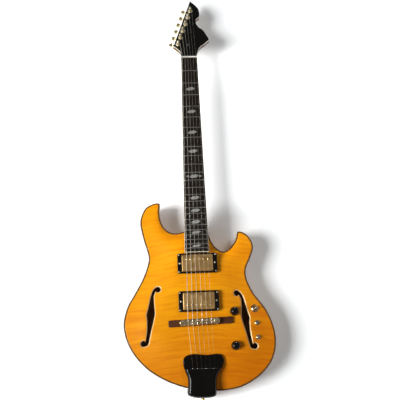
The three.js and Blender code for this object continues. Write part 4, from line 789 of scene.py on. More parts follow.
def build_back():
    """Sides and back in one shell, open to the front, with a sunk seat for the control cover."""
    rounding = 7.0
    inner_y = BODY_BACK_Y - 5
    seat_y = BODY_BACK_Y - 2.6
    bend_y = BODY_BACK_Y - rounding
    front_y = BODY_FRONT_Y - 0.2
    rows = [(-12.0, inner_y), (-7.0, BODY_BACK_Y - 11), (-6.0, 38.0), (-6.0, front_y)]
    rows += [(0, front_y), (0, 24.0), (0, bend_y - 1.2), (0, bend_y)]
    rows += [(-rounding * (1 - c), BODY_BACK_Y - rounding * (1 - s)) for s, c in arc(6)[1:]]
    shells = lipped(body_outline, rows)
    back = Shape(rings(shells, closed_ends=False))
    # inside, front rim, cream band, pale side and dark line; the rest is mahogany
    bands = (1, 1, 1, 0, 2, 3, 4)
    size = len(body_outline)
    back.faces = [(f, bands[k // size] if k // size < len(bands) else 0) for k, (f, _) in enumerate(back.faces)]
    rim, inner_rim = ([(x, z) for x, _, z in shell] for shell in (shells[-1], shells[0]))
    seat = offset(control_cover, 0.4)

    def flat(loops, holes, cell, y, index):
        points, triangles, _ = plan(loops, loops[0], holes, cell, 4)
        back.add(([(x, y, z) for x, z in points], [(t, index) for t in triangles]))

    flat([rim, seat], [seat], 12, BODY_BACK_Y, 0)
    back.add(rings(lipped(seat, [(0, BODY_BACK_Y), (0, seat_y)]), closed_ends=False))
    flat([inner_rim], [], 14, inner_y, 1)
    flat([seat], [], 14, seat_y, 1)
    return back


make("back_and_sides", build_back(), [MAHOGANY, DARK_INSIDE, CREAM, SIDE_WOOD, EDGE_LINE], 40,
     "body_back", even=True)

# Neck and headstock


def board_width(z):
    return NUT_WIDTH + (BOARD_END_WIDTH - NUT_WIDTH) * (-z / BOARD_LENGTH)


def neck_section(width, depth, z):
    steps = 20
    fullness = 0.82
    ring = []
    for i in range(steps + 1):
        turn = i / steps * math.pi
        c = math.cos(turn)
        ring.append((math.copysign(abs(c) ** fullness, c) * width / 2,
                     depth * math.sin(turn) ** fullness if 0 < i < steps else 0.0, z))
    return ring


def build_neck():
    shaft_end = TONGUE_START_Z + 62
    keys = [(9.0, 40.5, 13.0), (0.0, 40.5, 15.5), (-8.0, 40.7, 17.0)]
    keys += [(z, board_width(z), depth) for z, depth in ((-25.0, 14.6), (-60.0, 14.6), (shaft_end / 2, 15.75),
                                                         (shaft_end, 17.0))]
    for share in (0.2, 0.4, 0.55, 0.68, 0.8, 0.9, 1.0):
        drop = 1 - math.cos(share * QUARTER)
        keys.append((shaft_end - share * 47, 52.0 - share, 17 + 32 * drop))
    keys.append((TONGUE_START_Z, 51.0, 49.0))
    zs, widths, depths = np.array(keys[::-1]).T
    stations = np.concatenate([np.arange(9, -40, -2.0), np.arange(-44, -380, -12.0),
                               np.arange(-382, TONGUE_START_Z, -3.0), [TONGUE_START_Z]])
    return rings([neck_section(float(np.interp(z, zs, widths)), float(np.interp(z, zs, depths)), float(z))
                  for z in stations])


HEAD_BLACK_BACK = 1.3
HEAD_CREAM_BACK = 5.4
head_outline = joined(*[respaced(smooth_line(scaled(side, HEAD_WIDTH, HEAD_LENGTH), 10), 1.5)
                        for side in HEAD_SIDES])
neck = Shape(build_neck())
neck.add(plate(head_outline, HEAD_CREAM_BACK, HEAD_THICKNESS, bevel=0.0, back_bevel=1.6), IN_HEAD)
neck.add(box(-22, 22, 0.05, 29.5, -BOARD_LENGTH, TONGUE_START_Z + 0.5, bevel=0.4))
make("neck_and_head", neck, [NECK_WOOD], 40, "neck", even=True)

facing = Shape(plate(head_outline, 0.0, HEAD_BLACK_BACK), IN_HEAD)
facing.add(plate(offset(head_outline, 0.05), HEAD_BLACK_BACK, HEAD_CREAM_BACK, bevel=0.0), IN_HEAD, index=1)
make("head_plate", facing, [BLACK_GLOSS, CREAM], 40, "headstock_facing", even=True)

# Fingerboard

BINDING = 0.8
BOARD_START_Z = -0.3
BOARD_MIDDLE_Z = -BOARD_LENGTH / 2
STRIP_Z = 1.3 - BOARD_LENGTH


def crown_y(x):
    return BOARD_RADIUS - math.sqrt(BOARD_RADIUS ** 2 - x * x) - BOARD_THICKNESS - FIT_GAP


def build_board():
    """Ebony with a cream strip at its end and cream bindings along its sides."""
    board = Shape()
    for ends, index in (((BOARD_START_Z, BOARD_MIDDLE_Z, STRIP_Z), 0), ((STRIP_Z, -BOARD_LENGTH), 1)):
        stations = []
        for z in ends:
            half = board_width(z) / 2 - BINDING
            crown = [(x, crown_y(x), z) for x in np.linspace(-half, half, 15)]
            stations.append([(-half, -FIT_GAP, z)] + crown + [(half, -FIT_GAP, z)])
        board.add(rings(stations), index=index)
    for side in (-1, 1):
        stations = []
        for z in (BOARD_START_Z, BOARD_MIDDLE_Z, -BOARD_LENGTH):
            half = board_width(z) / 2
            inner = half - BINDING
            stations.append([(side * x, y, z) for x, y in (
                (inner, -FIT_GAP), (inner, crown_y(inner)), (half - 0.4, crown_y(half) + 0.05),
                (half, crown_y(half) + 0.5), (half, -FIT_GAP))])
        board.add(rings(stations), index=1)
    return board


make("board", build_board(), [EBONY, CREAM], 30, "fingerboard")

fret_places = [-SCALE_LENGTH * (1 - 2 ** (-(i + 1) / 12)) for i in range(FRET_COUNT)]
frets = Shape()
for z in fret_places:
    half = board_width(z) / 2 - 0.3
    stations = []
    for x in np.linspace(-half, half, 13):
        end = min(1.0, (half - abs(x)) / 1.2 + 0.35)
        stations.append([(x, crown_y(x) + 0.3 - 1.35 * end * math.sin(t) ** 0.8, z - 1.2 * math.cos(t))
                         for t in np.linspace(0, math.pi, 9)])
    frets.add(rings(stations))
make("fret_wires", frets, [FRET_METAL], 50)


def lens(half_width, half_height):
    """Half-heights of a pointed oval lying across the board."""
    return [(half_width * math.cos(t), max(0.02, half_height * math.sin(t) ** 1.35))
            for t in np.linspace(0, math.pi, 14)]


def between_frets(fret):
    """The two frets on either side of a fret's inlay, and the place between them."""
    upper, lower = fret_places[fret - 2:fret]
    return upper, lower, (upper + lower) / 2


inlays = Shape()
for fret in (3, 5, 7, 9, 12, 15, 17, 19, 21, 24):
    upper, lower, middle = between_frets(fret)
    leaves = [(0.0, 10.8, min(4.2, (upper - lower) / 2 - 2.4))]
    if fret == 12:
        leaves += [(-15.0, 3.0, 2.2), (15.0, 3.0, 2.2)]
    for x, half_width, half_height in leaves:
        stations = []
        for px, pz in lens(half_width, half_height):
            front = crown_y(x + px) - 0.04
            at = middle + px * 0.12
            stations.append([(x + px, y, z) for y, z in ((front, at + pz), (front, at - pz),
                                                         (front + 0.5, at - pz), (front + 0.5, at + pz))])
        inlays.add(rings(stations))
make("position_inlays", inlays, [PEARL], 30)
side_dots = Shape()
for fret in (3, 5, 7, 9, 12, 12, 15, 17, 19, 21, 24):
    middle = between_frets(fret)[2]
    place = moved(-board_width(middle) / 2 + 0.35, -3.2, middle) @ spun(-QUARTER, "Z")
    side_dots.add(lathe([(0, 0), (1.0, 0), (1.0, 0.36), (0, 0.38)], 16), place)
make("side_dots", side_dots, [BLACK_PLASTIC])

# Strings


def string_x(i, spread):
    return (i / 5 - 0.5) * spread


posts = [(FIRST_POST_X + i * POST_PITCH * math.sin(POST_LINE_ANGLE),
          FIRST_POST_RISE + i * POST_PITCH * math.cos(POST_LINE_ANGLE)) for i in range(6)]
saddles = [(string_x(i, SADDLE_SPREAD) / math.cos(BRIDGE_SLANT) - BRIDGE_X, stagger)
           for i, stagger in enumerate(SADDLE_STAGGERS)]

for i, diameter in enumerate(STRING_DIAMETERS):
    radius = diameter / 2
    saddle = IN_BRIDGE @ Vector((saddles[i][0], -SADDLE_TOP, saddles[i][1]))
    post = IN_HEAD @ Vector((posts[i][0] + 4.0 + radius, -4.6, posts[i][1]))
    tail_end = Vector((TAIL_SPREAD_X + string_x(i, TAIL_SPREAD), -2.5, TAIL_STEP_Z - 3.8))
    nut_front = Vector((string_x(i, NUT_SPREAD), -7.8, 0.6))
    nut_back = Vector((string_x(i, NUT_SPREAD), -7.75, 3.0))
    crest = saddle + Vector((0, 0, 0.2))
    played = [crest.lerp(nut_front, k / 24) for k in range(25)] + [nut_back, post]
    tail = [crest, saddle + Vector((0, 0.35, -1.4))] + [saddle.lerp(tail_end, k / 8) for k in range(1, 9)]
    for run, path, away, wire, replaces in (("played", played, nut_front, STRING_METALS[i], f"string_{i + 1}"),
                                            ("tail", tail, tail_end, TAIL_WIRE, None)):
        piece = make(f"string_{i + 1}_{run}", Shape(tube(path, radius)), [wire], 60,
                     replaces, body=None)
        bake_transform(piece)

# Control cover and its screws

cover = Shape(plate(control_cover, BODY_BACK_Y - 2.2, BODY_BACK_Y - 0.3, bevel=0.0, back_bevel=0.5))
make("control_cover", cover, [BLACK_PLASTIC], 35, even=True)
cover_screws = Shape()
for x, z in ((98, -619), (132, -650), (108, -704), (69, -712), (67, -652)):
    cover_screws.add(screw_head(2.6, 0.7), moved(x, BODY_BACK_Y - 0.75, z) @ spun(math.pi, "X"))
make("control_cover_screws", cover_screws, [CHROME, STEEL], 40)

# Pickups

RING_SIZE = (90, 45, 4)
RING_HOLE = (71, 39, 3)
RING_FOOT_Y = 15.0
COVER_SIZE = (70, 38, 3)


def frame_ring(outer, hole, front):
    """A pickup ring with rounded lips, its foot on the arch."""
    rows = [[(x, float(y) + 0.7, z) for (x, z), y in zip(outer, arch_y(outer))]]
    rows += lipped(outer, ((0.0, front + 0.9), (-0.12, front + 0.45), (-0.45, front + 0.12), (-0.9, front)))
    rows += lipped(hole, ((0.6, front), (0.25, front + 0.1), (0.05, front + 0.3), (0.0, front + 0.6),
                          (0.0, RING_FOOT_Y)))
    return rings(rows + lipped(outer, [(-3, RING_FOOT_Y)]), loop=True)


def pickup(name, z, ring_front, cover_front, pole_rise):
    outer, hole, outline = (rounded_rectangle(*size, 0, z, steps)
                            for size, steps in ((RING_SIZE, 6), (RING_HOLE, 6), (COVER_SIZE, 7)))
    ring = Shape(frame_ring(outer, hole, ring_front))
    make(f"{name}_frame", ring, [BLACK_PLASTIC], 50, f"{name}_ring")
    screws = Shape()
    for sx in (-1, 1):
        for x, rise, head, angle in ((41.6, -19, (1.7, 0.9), 0.6 * sx - 1), (41.6, 19, (1.7, 0.9), 0.6 * sx + 1),
                                     (39.6, 0, (2.1, 1.1), 0.3 + sx)):
            screws.add(screw_head(*head), moved(sx * x, ring_front + 0.15, z + rise) @ spun(angle, "Y"))
    make(f"{name}_screws", screws, [PALE_GOLD, STEEL], 45)
    shell = Shape(plate(outline, cover_front, cover_front + 17, bevel=1.5, back_bevel=0.3, steps=5))
    shell.add(box(-41.5, 41.5, cover_front + 14.6, cover_front + 16.2, z - 7, z + 7), index=2)
    for i in range(6):
        turned = moved(string_x(i, 50), cover_front + 0.12, z + pole_rise) @ spun(0.5 + 1.3 * i, "Y")
        shell.add(screw_head(2.2, 0.55), turned, 1)
    make(f"{name}_cover", shell, [AGED_NICKEL, GOLD, STEEL], 45, name, body=name, even=True)


pickup("neck_pickup", NECK_PICKUP_Z, -2.6, -6.6, 8.5)
pickup("bridge_pickup", BRIDGE_PICKUP_Z, -3.4, -7.2, -8.5)

# Bridge

FOOT_SIZE = (143, 15, 3.2)
RAIL_SIZE = (88, 12.4, 5.9)
SLOT_SIZE = (63, 9, 0.8)
SADDLE_FOOT = 5.7
SADDLE_HALF = 1.7
SCREW_Y = -7.0


def build_base():
    """A foot cut to the arch, with its long sides divided so that it follows the curve."""
    cuts = 12
    outline = []
    corners = rounded_rectangle(*FOOT_SIZE, 2.1)
    for a, b in zip(corners, corners[1:] + corners[:1]):
        steps = 1 if math.dist(a, b) < 12 else cuts
        outline += [(a[0] + (b[0] - a[0]) * k / cuts, a[1] + (b[1] - a[1]) * k / cuts) for k in range(steps)]
    placed = [IN_BRIDGE @ Vector((x, 0, z)) for x, z in outline]
    foot = [(x, float(y) + 0.5, z) for (x, z), y in zip(outline, arch_y([(p.x, p.z) for p in placed]))]
    return rings([foot] + lipped(outline, ((0.0, 2.2), (-0.2, 1.6), (-0.6, 1.15), (-1.2, 1.0))))


make("bridge_foot", Shape(build_base(), IN_BRIDGE), [ROSEWOOD], 45, "bridge_base", even=True)

rail = rounded_rectangle(*RAIL_SIZE, steps=9)
slot = rounded_rectangle(*SLOT_SIZE, steps=9)
bar = Shape(rings(
    lipped(rail, ((-0.4, -3.3), (0, -3.6), (0, -7.6), (-0.25, -8.4), (-0.8, -8.85), (-1.3, -9.0)))
    + lipped(slot, ((0.25, -9.0), (0.05, -8.9), (0, -8.7), (0, -5.4)))))
# intonation screws, their heads on the tail side
for x, _ in saddles:
    head = lathe([(0, -0.1), (1.5, 0), (1.5, 0.9), (0, 1.0)], 16, ease=0.2)
    bar.add(head, moved(x, SCREW_Y, -6.1) @ spun(-QUARTER, "X"), index=1)
    bar.add(tube([(x, SCREW_Y, -6.0), (x, SCREW_Y, 4.6)], 0.75, 8), index=1)
bar = Shape((bar.verts, bar.faces), IN_BRIDGE)
make("bridge_rail", bar, [NICKEL, CHROME], 45, "bridge_bar", body="bridge_bar", even=True)


def build_saddle(diameter):
    crest = -(SADDLE_TOP - diameter / 2 - 0.3)
    shoulder = (crest - SADDLE_FOOT) / 2
    right = [(0.2, crest), (0.42, crest + 0.12), (SADDLE_HALF, shoulder), (SADDLE_HALF, -SADDLE_FOOT)]
    section = [(-z, y) for z, y in right[::-1]] + right
    return rings([[(x, -SADDLE_FOOT + (y + SADDLE_FOOT) * shrink, z) for z, y in section]
                  for x, shrink in ((-3.3, 0.75), (-3.0, 1.0), (-0.45, 1.0), (-0.3, 0.93), (0.3, 0.93), (0.45, 1.0),
                                    (3.0, 1.0), (3.3, 0.75))])


for i, diameter in enumerate(STRING_DIAMETERS):
    saddle = Shape(build_saddle(diameter), IN_BRIDGE @ moved(saddles[i][0], 0, saddles[i][1]))
    make(f"saddle_block_{i + 1}", saddle, [NICKEL], 30, f"saddle_{i + 1}", body=f"saddle_{i + 1}")

for i, side in enumerate((-1, 1)):
    place = IN_BRIDGE @ moved(side * 37, 0, 0)
    stud = Shape(lathe([(0, -3.9), (2.2, -3.9), (2.2, 8.7), (0, 8.7)], 24, ease=0.35), place)
    wheel = [(2.2, 1.0), (6.3, 1.0), (7.0, 1.3), (7.0, 2.7), (6.3, 3.0), (2.2, 3.0)]
    stud.add(lathe(wheel, 120, wave=0.02, waves=30, wave_rows=(2, 3)), place)
    make(f"bridge_post_{i + 1}", stud, [GOLD], 35, f"bridge_stud_{i + 1}", body=f"bridge_stud_{i + 1}")

# Tailpiece

WRAP_Y = 47.0
tail_outline = respaced(smooth_loop(scaled(TAIL_OUTLINE, TAIL_WIDTH, TAIL_LENGTH, 0, TAIL_END_Z), 8), 1.6,
                        closed=True)


def tail_front(x, z):
    """Front face of the tailpiece: a rounded shoulder, and a recess above the step."""
    d = distance_to(tail_outline, x, z, closed=True)
    d = np.where(inside(tail_outline, x, z), d, 0)
    shoulder = np.interp(d, [0, 0.4, 1.0, 1.8, 3.0, 4.4, 6.0, 60], [4, 1.4, -0.5, -2.1, -3.9, -5.2, -5.8, -6.0])
    recess = np.interp(z, [TAIL_STEP_Z, -717.3], [-0.6, 1.5])
    return np.where(z > TAIL_STEP_Z, np.maximum(shoulder, recess), shoulder)


def build_tail():
    """The block in two parts that meet at the step; it lies on the top, and past the body it reaches down."""
    tail = Shape()
    body = offset(body_outline, 0.45)
    for side in (-1, 1):
        part = clipped(tail_outline, TAIL_STEP_Z, side)
        loops = [part] + [offset(tail_outline, -d) for d in (0.5, 1.6, 3.2)] + ([body] if side < 0 else [])
        points, triangles, _ = plan(loops, part, [], 2.4, 1.0)
        x, z = np.array(points).T
        base = len(tail.verts)
        size = len(points)
        wrap = np.minimum(WRAP_Y, 42.0 + (z + 815.3) * 11 / 17)
        for y in (tail_front(x, z + side * 1e-4), arch_y(points) - 0.6, wrap):
            tail.verts += [(px, float(py), pz) for (px, pz), py in zip(points, y)]
        sides = {}
        for t, on_body in zip(triangles, inside_centres(body, points, triangles)):
            layer = size if on_body else 2 * size
            tail.faces.append(([base + i for i in t], 0))
            tail.faces.append(([base + i + layer for i in reversed(t)], 0))
            for i in range(3):
                sides[(t[i], t[(i + 1) % 3])] = layer
        for (p, q), layer in sides.items():
            other = sides.get((q, p))
            p, q, upper, lower = base + p, base + q, size, 2 * size
            if other is None:
                tail.faces.append(([q, p, p + layer, q + layer], 0))
            elif other != layer and p < q:
                tail.faces.append(([q + upper, p + upper, p + lower, q + lower], 0))
    return tail


make("tailpiece_block", build_tail(), [BLACK_GLOSS], 38, "tailpiece", even=True)
ridge = [(x, -5.75, TAIL_STEP_Z - 0.1) for x in np.linspace(-25, 35.5, 12)]
fittings = Shape(tube(ridge, 0.45), index=1)
eyelet = [(0.75, -0.3), (2.3, -0.3), (2.3, 0.5), (1.9, 1.2), (1.1, 1.2), (0.75, 0.8)]
for i in range(6):
    place = moved(TAIL_SPREAD_X + string_x(i, TAIL_SPREAD), -2.5, TAIL_STEP_Z + 0.35) @ spun(QUARTER, "X")
    fittings.add(lathe(eyelet, 20), place)
make("string_eyelets", fittings, [CHROME, DULL_STEEL], 40)

# Tuning machines

CASE_SIZE = (20.6, 21, 3)
BUTTON_X = -22
COIL_TURNS = 2.4
POST_ROWS = [(0, -21), (2.9, -21), (2.9, 1.8), (3.0, 2.2), (2.6, 3.0), (2.35, 4.4), (2.45, 6.6), (2.9, 7.8),
             (3.0, 8.4), (3.0, 12.9), (2.8, 13.6), (2.2, 14.0), (0, 14.0)]
for i in range(6):
    place = IN_HEAD @ moved(posts[i][0], 0, posts[i][1]) @ spun(POST_LINE_ANGLE, "Y")
    case = rounded_rectangle(*CASE_SIZE, -2.3, 3.9)
    housing = Shape(plate(case, 13.8, 24.8, bevel=0.2, back_bevel=2.2, steps=5), place)
    housing.add(lathe([(3.2, -13.9), (4.8, -13.9), (4.8, -2), (3.2, -2)], 28, ease=0.2), place)
    ferrule = [(3.2, 0.2), (6.3, 0.2), (6.3, 0.7), (5.9, 1.25), (5.0, 1.55), (4.7, 2.05), (3.3, 2.1)]
    housing.add(lathe(ferrule, 36), place)
    for sx, sz in ((-5.2, 11.2), (5.2, -3.4)):
        housing.add(screw_head(1.5, 0.6), place @ moved(sx, 24.4, sz) @ spun(math.pi, "X") @ spun(0.7, "Y"), 1)
    housing.add(lathe([(1.9, -0.4), (3.4, -0.4), (3.4, 1.4), (2.6, 2.0), (1.9, 2.0)], 24, ease=0.15),
                  place @ moved(-8, WORM_Y, WORM_Z) @ spun(QUARTER, "Z") @ spun(math.pi, "Z"))
    make(f"machine_{i + 1}_case", housing, [PALE_GOLD, CHROME], 40, f"tuner_{i + 1}_housing")

    post = Shape(lathe(POST_ROWS, 28), place)
    post.add(lathe([(0, -20.9), (5.2, -20.9), (5.2, -17.7), (0, -17.7)], 40, wave=0.05, waves=16,
                     wave_rows=(1, 2)), place)
    post.add(lathe([(0, 13.95), (1.5, 13.95), (1.4, 14.0), (0, 14.0)], 20), place, index=1)
    radius = STRING_DIAMETERS[i] / 2
    coil = []
    for t in np.linspace(0, 1, 58):
        angle = COIL_TURNS * TURN * t
        coil.append(place @ Vector(((3.0 + radius) * math.cos(angle), -(2.7 + 2.3 * t + radius),
                                    (3.0 + radius) * math.sin(angle))))
    post.add(tube(coil, radius, 8), index=2)
    make(f"machine_{i + 1}_post", post, [PALE_GOLD, BLACK_PLASTIC, STRING_METALS[i]], 35,
         f"tuner_{i + 1}_post", body=f"post_{i + 1}")

    button = Shape()
    for ends, radius in (((7.0, -20), 1.7), ((5.5, -5.5), 2.3)):
        button.add(tube([place @ Vector((x, WORM_Y, WORM_Z)) for x in ends], radius, 16))
    stations = []
    for t in np.linspace(0.02, 0.98, 25):
        u = -math.cos(t * math.pi)
        grow = math.sqrt(max(0.0, 1 - abs(u) ** 2.4))
        pinch = 1 - 0.10 * (1 - u * u) * math.cos(2 * u)
        stations.append([(BUTTON_X - 5.4 * u, WORM_Y + 3.2 * grow * pinch * math.cos(a),
                          WORM_Z + 7.4 * grow * math.sin(a)) for a in turns(28)])
    button.add(rings(stations), place)
    button.add(lathe([(1.7, -1), (2.9, -1), (2.4, 1.8), (1.7, 1.8)], 20, ease=0.2),
                 place @ moved(-16.6, WORM_Y, WORM_Z) @ spun(-QUARTER, "Z"))
    make(f"machine_{i + 1}_button", button, [PALE_GOLD], 50, f"tuner_{i + 1}_button", body=f"button_{i + 1}")

retainer_rows = [(0, -0.1), (3.6, -0.1), (3.6, 0.5), (3.2, 0.9), (1.9, 1.0), (1.7, 1.5), (1.0, 1.7), (0, 1.75)]
make("string_retainer", Shape(lathe(retainer_rows, 32), IN_HEAD @ moved(-0.5, 0, 40)), [DULL_STEEL], 40)

# Controls

KNOB_SPREAD = 1.1
KNOB_ROWS = [(0, 0), (8.7, 0), (9.0, 0.3), (9.0, 1.7), (8.7, 2.1), (8.35, 2.4), (8.1, 6.0), (7.9, 9.6),
             (7.6, 11.0), (6.9, 12.5), (5.8, 13.7), (4.2, 14.6), (2.2, 14.95), (0.05, 15.0)]
for name, x, z in KNOB_PLACES:
    ring = [(x + 9.0 * math.cos(turn), z + 9.0 * math.sin(turn)) for turn in turns(24)]
    place = moved(x, float(min(arch_y(ring))) - 0.6, z)
    rows = [(radius * KNOB_SPREAD, height) for radius, height in KNOB_ROWS]
    knob = Shape(lathe(rows, 144, wave=0.012, waves=36, wave_rows=(5, 6, 7)), place)
    knob.add(box(-0.45, 0.45, -14.55, -13.0, 4.4, 6.6, bevel=0.1), place, index=1)
    make(f"{name}_cap", knob, [BLACK_PLASTIC, CREAM], 50, f"{name}_knob", body=f"{name}_knob")


def on_arch(x, z):
    """Stands a lathed piece square on the slope of the arch."""
    fall_x = (arch_at(x + 3, z) - arch_at(x - 3, z)) / 6
    fall_z = (arch_at(x, z + 3) - arch_at(x, z - 3)) / 6
    return along(Vector((fall_x, -1, fall_z)).normalized(), (x, arch_at(x, z), z))


def bat_lever(length, radius):
    """A ball, a thin waist and a swelling bat with a round end."""
    rows = [(0.05, -radius), (radius * 0.7, -radius * 0.7), (radius, 0), (radius * 0.8, radius * 0.75),
            (radius * 0.5, radius * 1.5), (radius * 0.48, radius * 2.2), (radius * 0.62, length * 0.55),
            (radius * 0.86, length - radius * 1.5), (radius * 0.96, length - radius * 0.9),
            (radius * 0.82, length - radius * 0.35), (radius * 0.5, length - radius * 0.08), (0.05, length)]
    return lathe(rows, 24)


toggle = Shape(lathe([(0, -3), (9.0, -3), (9.0, 0.7), (8.4, 1.1), (7.6, 1.2), (7.2, 1.9), (5.0, 3.3), (0, 3.3)], 48,
                     ease=0.25, wave=0.02, waves=24, wave_rows=(4, 5)), on_arch(TOGGLE_X, TOGGLE_Z))
upright = moved(TOGGLE_X, arch_at(TOGGLE_X, TOGGLE_Z), TOGGLE_Z)
toggle.add(lathe([(2.6, -2), (5.6, -2), (5.6, 3.2), (5.0, 4.0), (2.6, 4.0)], 36, ease=0.3), upright)
for k in range(3):
    toggle.add(lathe([(5.4, 3.0 - k * 0.5), (5.75, 3.2 - k * 0.5), (5.4, 3.4 - k * 0.5)], 36), upright)
make("toggle_nut", toggle, [OLD_GOLD], 35, "pickup_switch_body")
lever = Shape(bat_lever(14, 2.2), moved(TOGGLE_X, TOGGLE_PIVOT_Y, TOGGLE_Z))
make("toggle_lever", lever, [CHROME], 60, "pickup_switch_lever", body="pickup_switch_lever")

for number, z, pivot in MINI_PLACES:
    mini = Shape(lathe([(0, -2.5), (5.6, -2.5), (5.6, 0.4), (5.2, 0.7), (4.8, 0.8), (4.7, 1.2), (2.9, 2.7), (0, 2.7)],
                       40, ease=0.2), on_arch(MINI_X, z))
    mini.add(lathe([(1.7, -2), (3.0, -2), (3.0, 2.9), (1.7, 2.9)], 30, ease=0.25),
               moved(MINI_X, arch_at(MINI_X, z), z))
    make(f"mini_nut_{number}", mini, [OLD_GOLD], 35)
    lever = Shape(bat_lever(10, 1.3), moved(MINI_X, pivot, z))
    make(f"mini_bat_{number}", lever, [CHROME], 60, f"mini_switch_{number}_lever",
         body=f"mini_switch_{number}_lever")

# Strap buttons and jack

STRAP_ROWS = [(0, -14), (1.8, -14), (1.8, 0), (5.6, 0), (5.5, 0.5), (4.5, 1.4), (3.7, 2.6), (3.5, 4.4), (3.7, 6.2),
              (4.9, 7.4), (6.7, 8.0), (7.0, 8.5), (6.9, 9.3), (6.3, 9.8), (4.8, 10.0), (0, 10.0)]
for name, place in (("tail", along((0, 0, -1), (2, 34, -809.6))), ("heel", along((0, 1, 0), (0, 49.3, -435.3)))):
    strap = Shape(lathe(STRAP_ROWS, 36), place)
    strap.add(lathe([(2.9, 9.9), (2.6, 9.98), (0, 9.99)], 24), place, index=1)
    make(f"{name}_strap_knob", strap, [GOLD, STEEL], 40, f"{name}_strap_button")

jack_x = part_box("output_jack")[1][0] * 1000 - 3.2
place = along((1, 0, 0), (jack_x, JACK_Y, JACK_Z))
jack = Shape(lathe([(3.3, 0.1), (8.2, 0.1), (8.2, 0.6), (5, 0.6)], 40, ease=0.2), place)
hexagon = [(7.2 * math.cos(k * math.pi / 3), 7.2 * math.sin(k * math.pi / 3)) for k in range(6)]
jack.add(plate(hexagon, -1.8, 0.0, bevel=0.4, steps=2), along((1, 0, 0), (jack_x + 0.6, JACK_Y, JACK_Z)))
jack.add(lathe([(3.3, -18), (5.6, -18), (5.6, 2.9), (5.3, 3.2), (3.7, 3.2), (3.3, 2.9), (3.3, -17)], 36), place)
jack.add(lathe([(0, -12), (3.4, -12), (3.4, -11), (0, -11)], 20), place, index=1)
make("jack_socket", jack, [CHROME, BLACK_PLASTIC], 35, "output_jack")

# CAD pieces that keep their shape

KEPT = {"nut": BONE, "volume_pot": STEEL, "tone_pot": STEEL, "truss_rod": STEEL, "mini_switch_1_body": CHROME,
        "mini_switch_2_body": CHROME}
for name, material in KEPT.items():
    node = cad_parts[name]
    node.data.materials.clear()
    node.data.materials.append(material)
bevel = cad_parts["nut"].modifiers.new("bevel", "BEVEL")
bevel.width = 0.3 * MM
bevel.segments = 3
bevel.limit_method = "ANGLE"
bevel.angle_limit = math.radians(35)

# Backdrop and floor

WALL_Y = 0.076
WALL_HALF = 1.4
WALL_TOP = 0.9
FLOOR_Z = -1.9
FLOOR_HALF = 7


def stage_plane(name, corners, material):
    mesh = bpy.data.meshes.new(name)
    mesh.from_pydata(corners, [], [(0, 1, 2, 3)])
    piece = bpy.data.objects.new(name, mesh)
    bpy.context.scene.collection.objects.link(piece)
    mesh.materials.append(material)
    piece.visible_diffuse = False
    return piece


def wall_material():
    """White wall that keeps the shadow, seen from its front only."""
    material = bpy.data.materials.new("white_wall")
    material.use_nodes = True
    n = Wires(material.node_tree)
    n.tree.nodes.clear()
    x, _, z = n.split(n.node("TexCoord").outputs["Object"])

    def eased(value, *limits):
        return n.range(value, *limits, smooth=True)

    # the wall glows a little more away from where the guitar's shadow falls
    reach = eased(z, -0.44, -0.28, 0.235, 0.09)
    middle = eased(z, -0.44, -0.28, 0.04, 0.10)
    away = n.math("SUBTRACT", n.math("ABSOLUTE", n.math("SUBTRACT", x, middle)), reach)
    # painted light and shade on the wall: beside the neck, by the nut and below the body's end more glow lightens the
    # guitar's cast shadow, and by the right cutaway less glow deepens it
    beside_neck = n.math("MULTIPLY", eased(z, -0.405, -0.335, 0.0, 1.0), eased(z, 0.04, 0.10, 1.0, 0.0))
    by_nut = n.math("MULTIPLY", eased(z, -0.08, 0.02, 0.0, 0.15), eased(z, 0.045, 0.085, 1.0, 0.0))
    beyond_end = eased(z, -0.835, -0.79, 0.40, 0.0)
    crook = eased(n.from_point(x, z, 0.05, -0.48), 0.0006, 0.006, -0.09, 0.0)
    least = n.add(beside_neck, n.add(n.add(0.10, crook), n.add(by_nut, beyond_end)), 0.36)
    strength = n.math("MAXIMUM", eased(away, 0.0, 0.10, 0.0, 1.0), least)
    glow = n.node("Emission", Color=(0.98, 1.0, 1.01, 1), Strength=strength)
    diffuse = n.node("BsdfDiffuse", Color=(0.955, 0.97, 0.98, 1))
    front = n.feed(n.node("AddShader"), diffuse.outputs[0], glow.outputs[0])
    clear = n.node("BsdfTransparent").outputs[0]
    backfacing = n.node("NewGeometry").outputs["Backfacing"]
    n.node("OutputMaterial", Surface=n.feed(n.node("MixShader"), backfacing, front, clear))
    return material


wall = stage_plane("backdrop", [(-WALL_HALF, WALL_Y, FLOOR_Z), (WALL_HALF, WALL_Y, FLOOR_Z),
                                (WALL_HALF, WALL_Y, WALL_TOP), (-WALL_HALF, WALL_Y, WALL_TOP)], wall_material())
wall.visible_shadow = False
floor_material = bpy.data.materials.new("pale_floor")
floor_material.use_nodes = True
floor_shader = floor_material.node_tree.nodes["Principled BSDF"]
for key, value in (("Base Color", (0.84, 0.84, 0.84, 1)), ("Roughness", 0.8), ("Emission Color", WHITE),
                   ("Emission Strength", 0.62)):
    floor_shader.inputs[key].default_value = value
floor = stage_plane("floor", [(FLOOR_HALF * sx, FLOOR_HALF * sy, FLOOR_Z)
                              for sx, sy in ((-1, -1), (1, -1), (1, 1), (-1, 1))], floor_material)
floor.visible_glossy = False

# Camera, fitted to the photograph

CAMERA_TURN = Vector((-0.28, 0.0448, 0.0357))
CAMERA_SHIFT = Vector((-0.4953, -263.9948, -1203.9))
FIT_CENTRE = Vector((0, -7, -648))

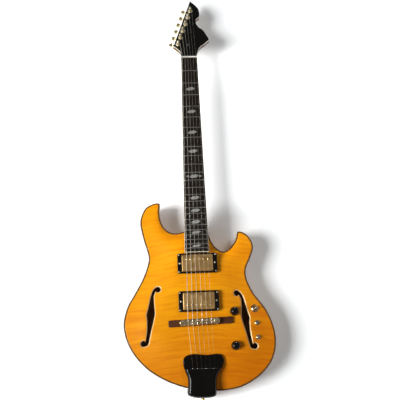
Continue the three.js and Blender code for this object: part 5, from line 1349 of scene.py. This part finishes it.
scene = bpy.context.scene
scene.view_settings.view_transform = "Standard"
camera_data = bpy.data.cameras.new("camera")
camera_data.lens = 49.5
camera_data.sensor_width = 36
camera = bpy.data.objects.new("camera", camera_data)
to_camera = Matrix.Rotation(CAMERA_TURN.length, 3, CAMERA_TURN.normalized())
z_up = Matrix(((1, 0, 0), (0, 0, -1), (0, 1, 0)))
centre = z_up @ -(to_camera.transposed() @ CAMERA_SHIFT)
camera.matrix_world = Matrix.Translation((centre + FIT_CENTRE) * MM) @ (z_up @ to_camera.transposed()).to_4x4()
scene.collection.objects.link(camera)
scene.camera = camera

# Light


def area_light(name, place, target, size, watts):
    data = bpy.data.lights.new(name, "AREA")
    data.shape = "RECTANGLE"
    data.size = data.size_y = size
    data.energy = watts
    lamp = bpy.data.objects.new(name, data)
    direction = Vector(target) - Vector(place)
    lamp.matrix_world = Matrix.Translation(place) @ direction.to_track_quat("-Z", "Y").to_matrix().to_4x4()
    scene.collection.objects.link(lamp)
    return lamp


area_light("key", (-2.70, -2.6, -1.00), (0, 0, -0.55), 1.5, 188)
area_light("front_fill", (1.1, -1.7, 0.4), (0, 0, -0.5), 1.0, 10).visible_glossy = False
area_light("back_fill", (0.9, 1.8, 0.2), (0, 0, -0.45), 1.2, 22)

world = bpy.data.worlds.new("world")
world.use_nodes = True
scene.world = world
sky = Wires(world.node_tree)
sky.tree.nodes.clear()
_, depth, _ = sky.split(sky.node("TexCoord").outputs["Generated"])
light = sky.node("Background", Color=WHITE, Strength=sky.range(depth, 0.0, 0.4, 0.07, 1.0))
seen = sky.node("Background", Color=WHITE, Strength=1.0)
rays = sky.node("LightPath").outputs
mirrored = sky.math("MULTIPLY", rays["Is Glossy Ray"], sky.range(depth, -0.1, 0.4, 0.13, 1.0))
share = sky.math("MAXIMUM", sky.math("MAXIMUM", rays["Is Camera Ray"], mirrored), rays["Is Transmission Ray"])
sky.node("OutputWorld", Surface=sky.feed(sky.node("MixShader"), share, light.outputs[0], seen.outputs[0]))

bpy.context.view_layer.update()
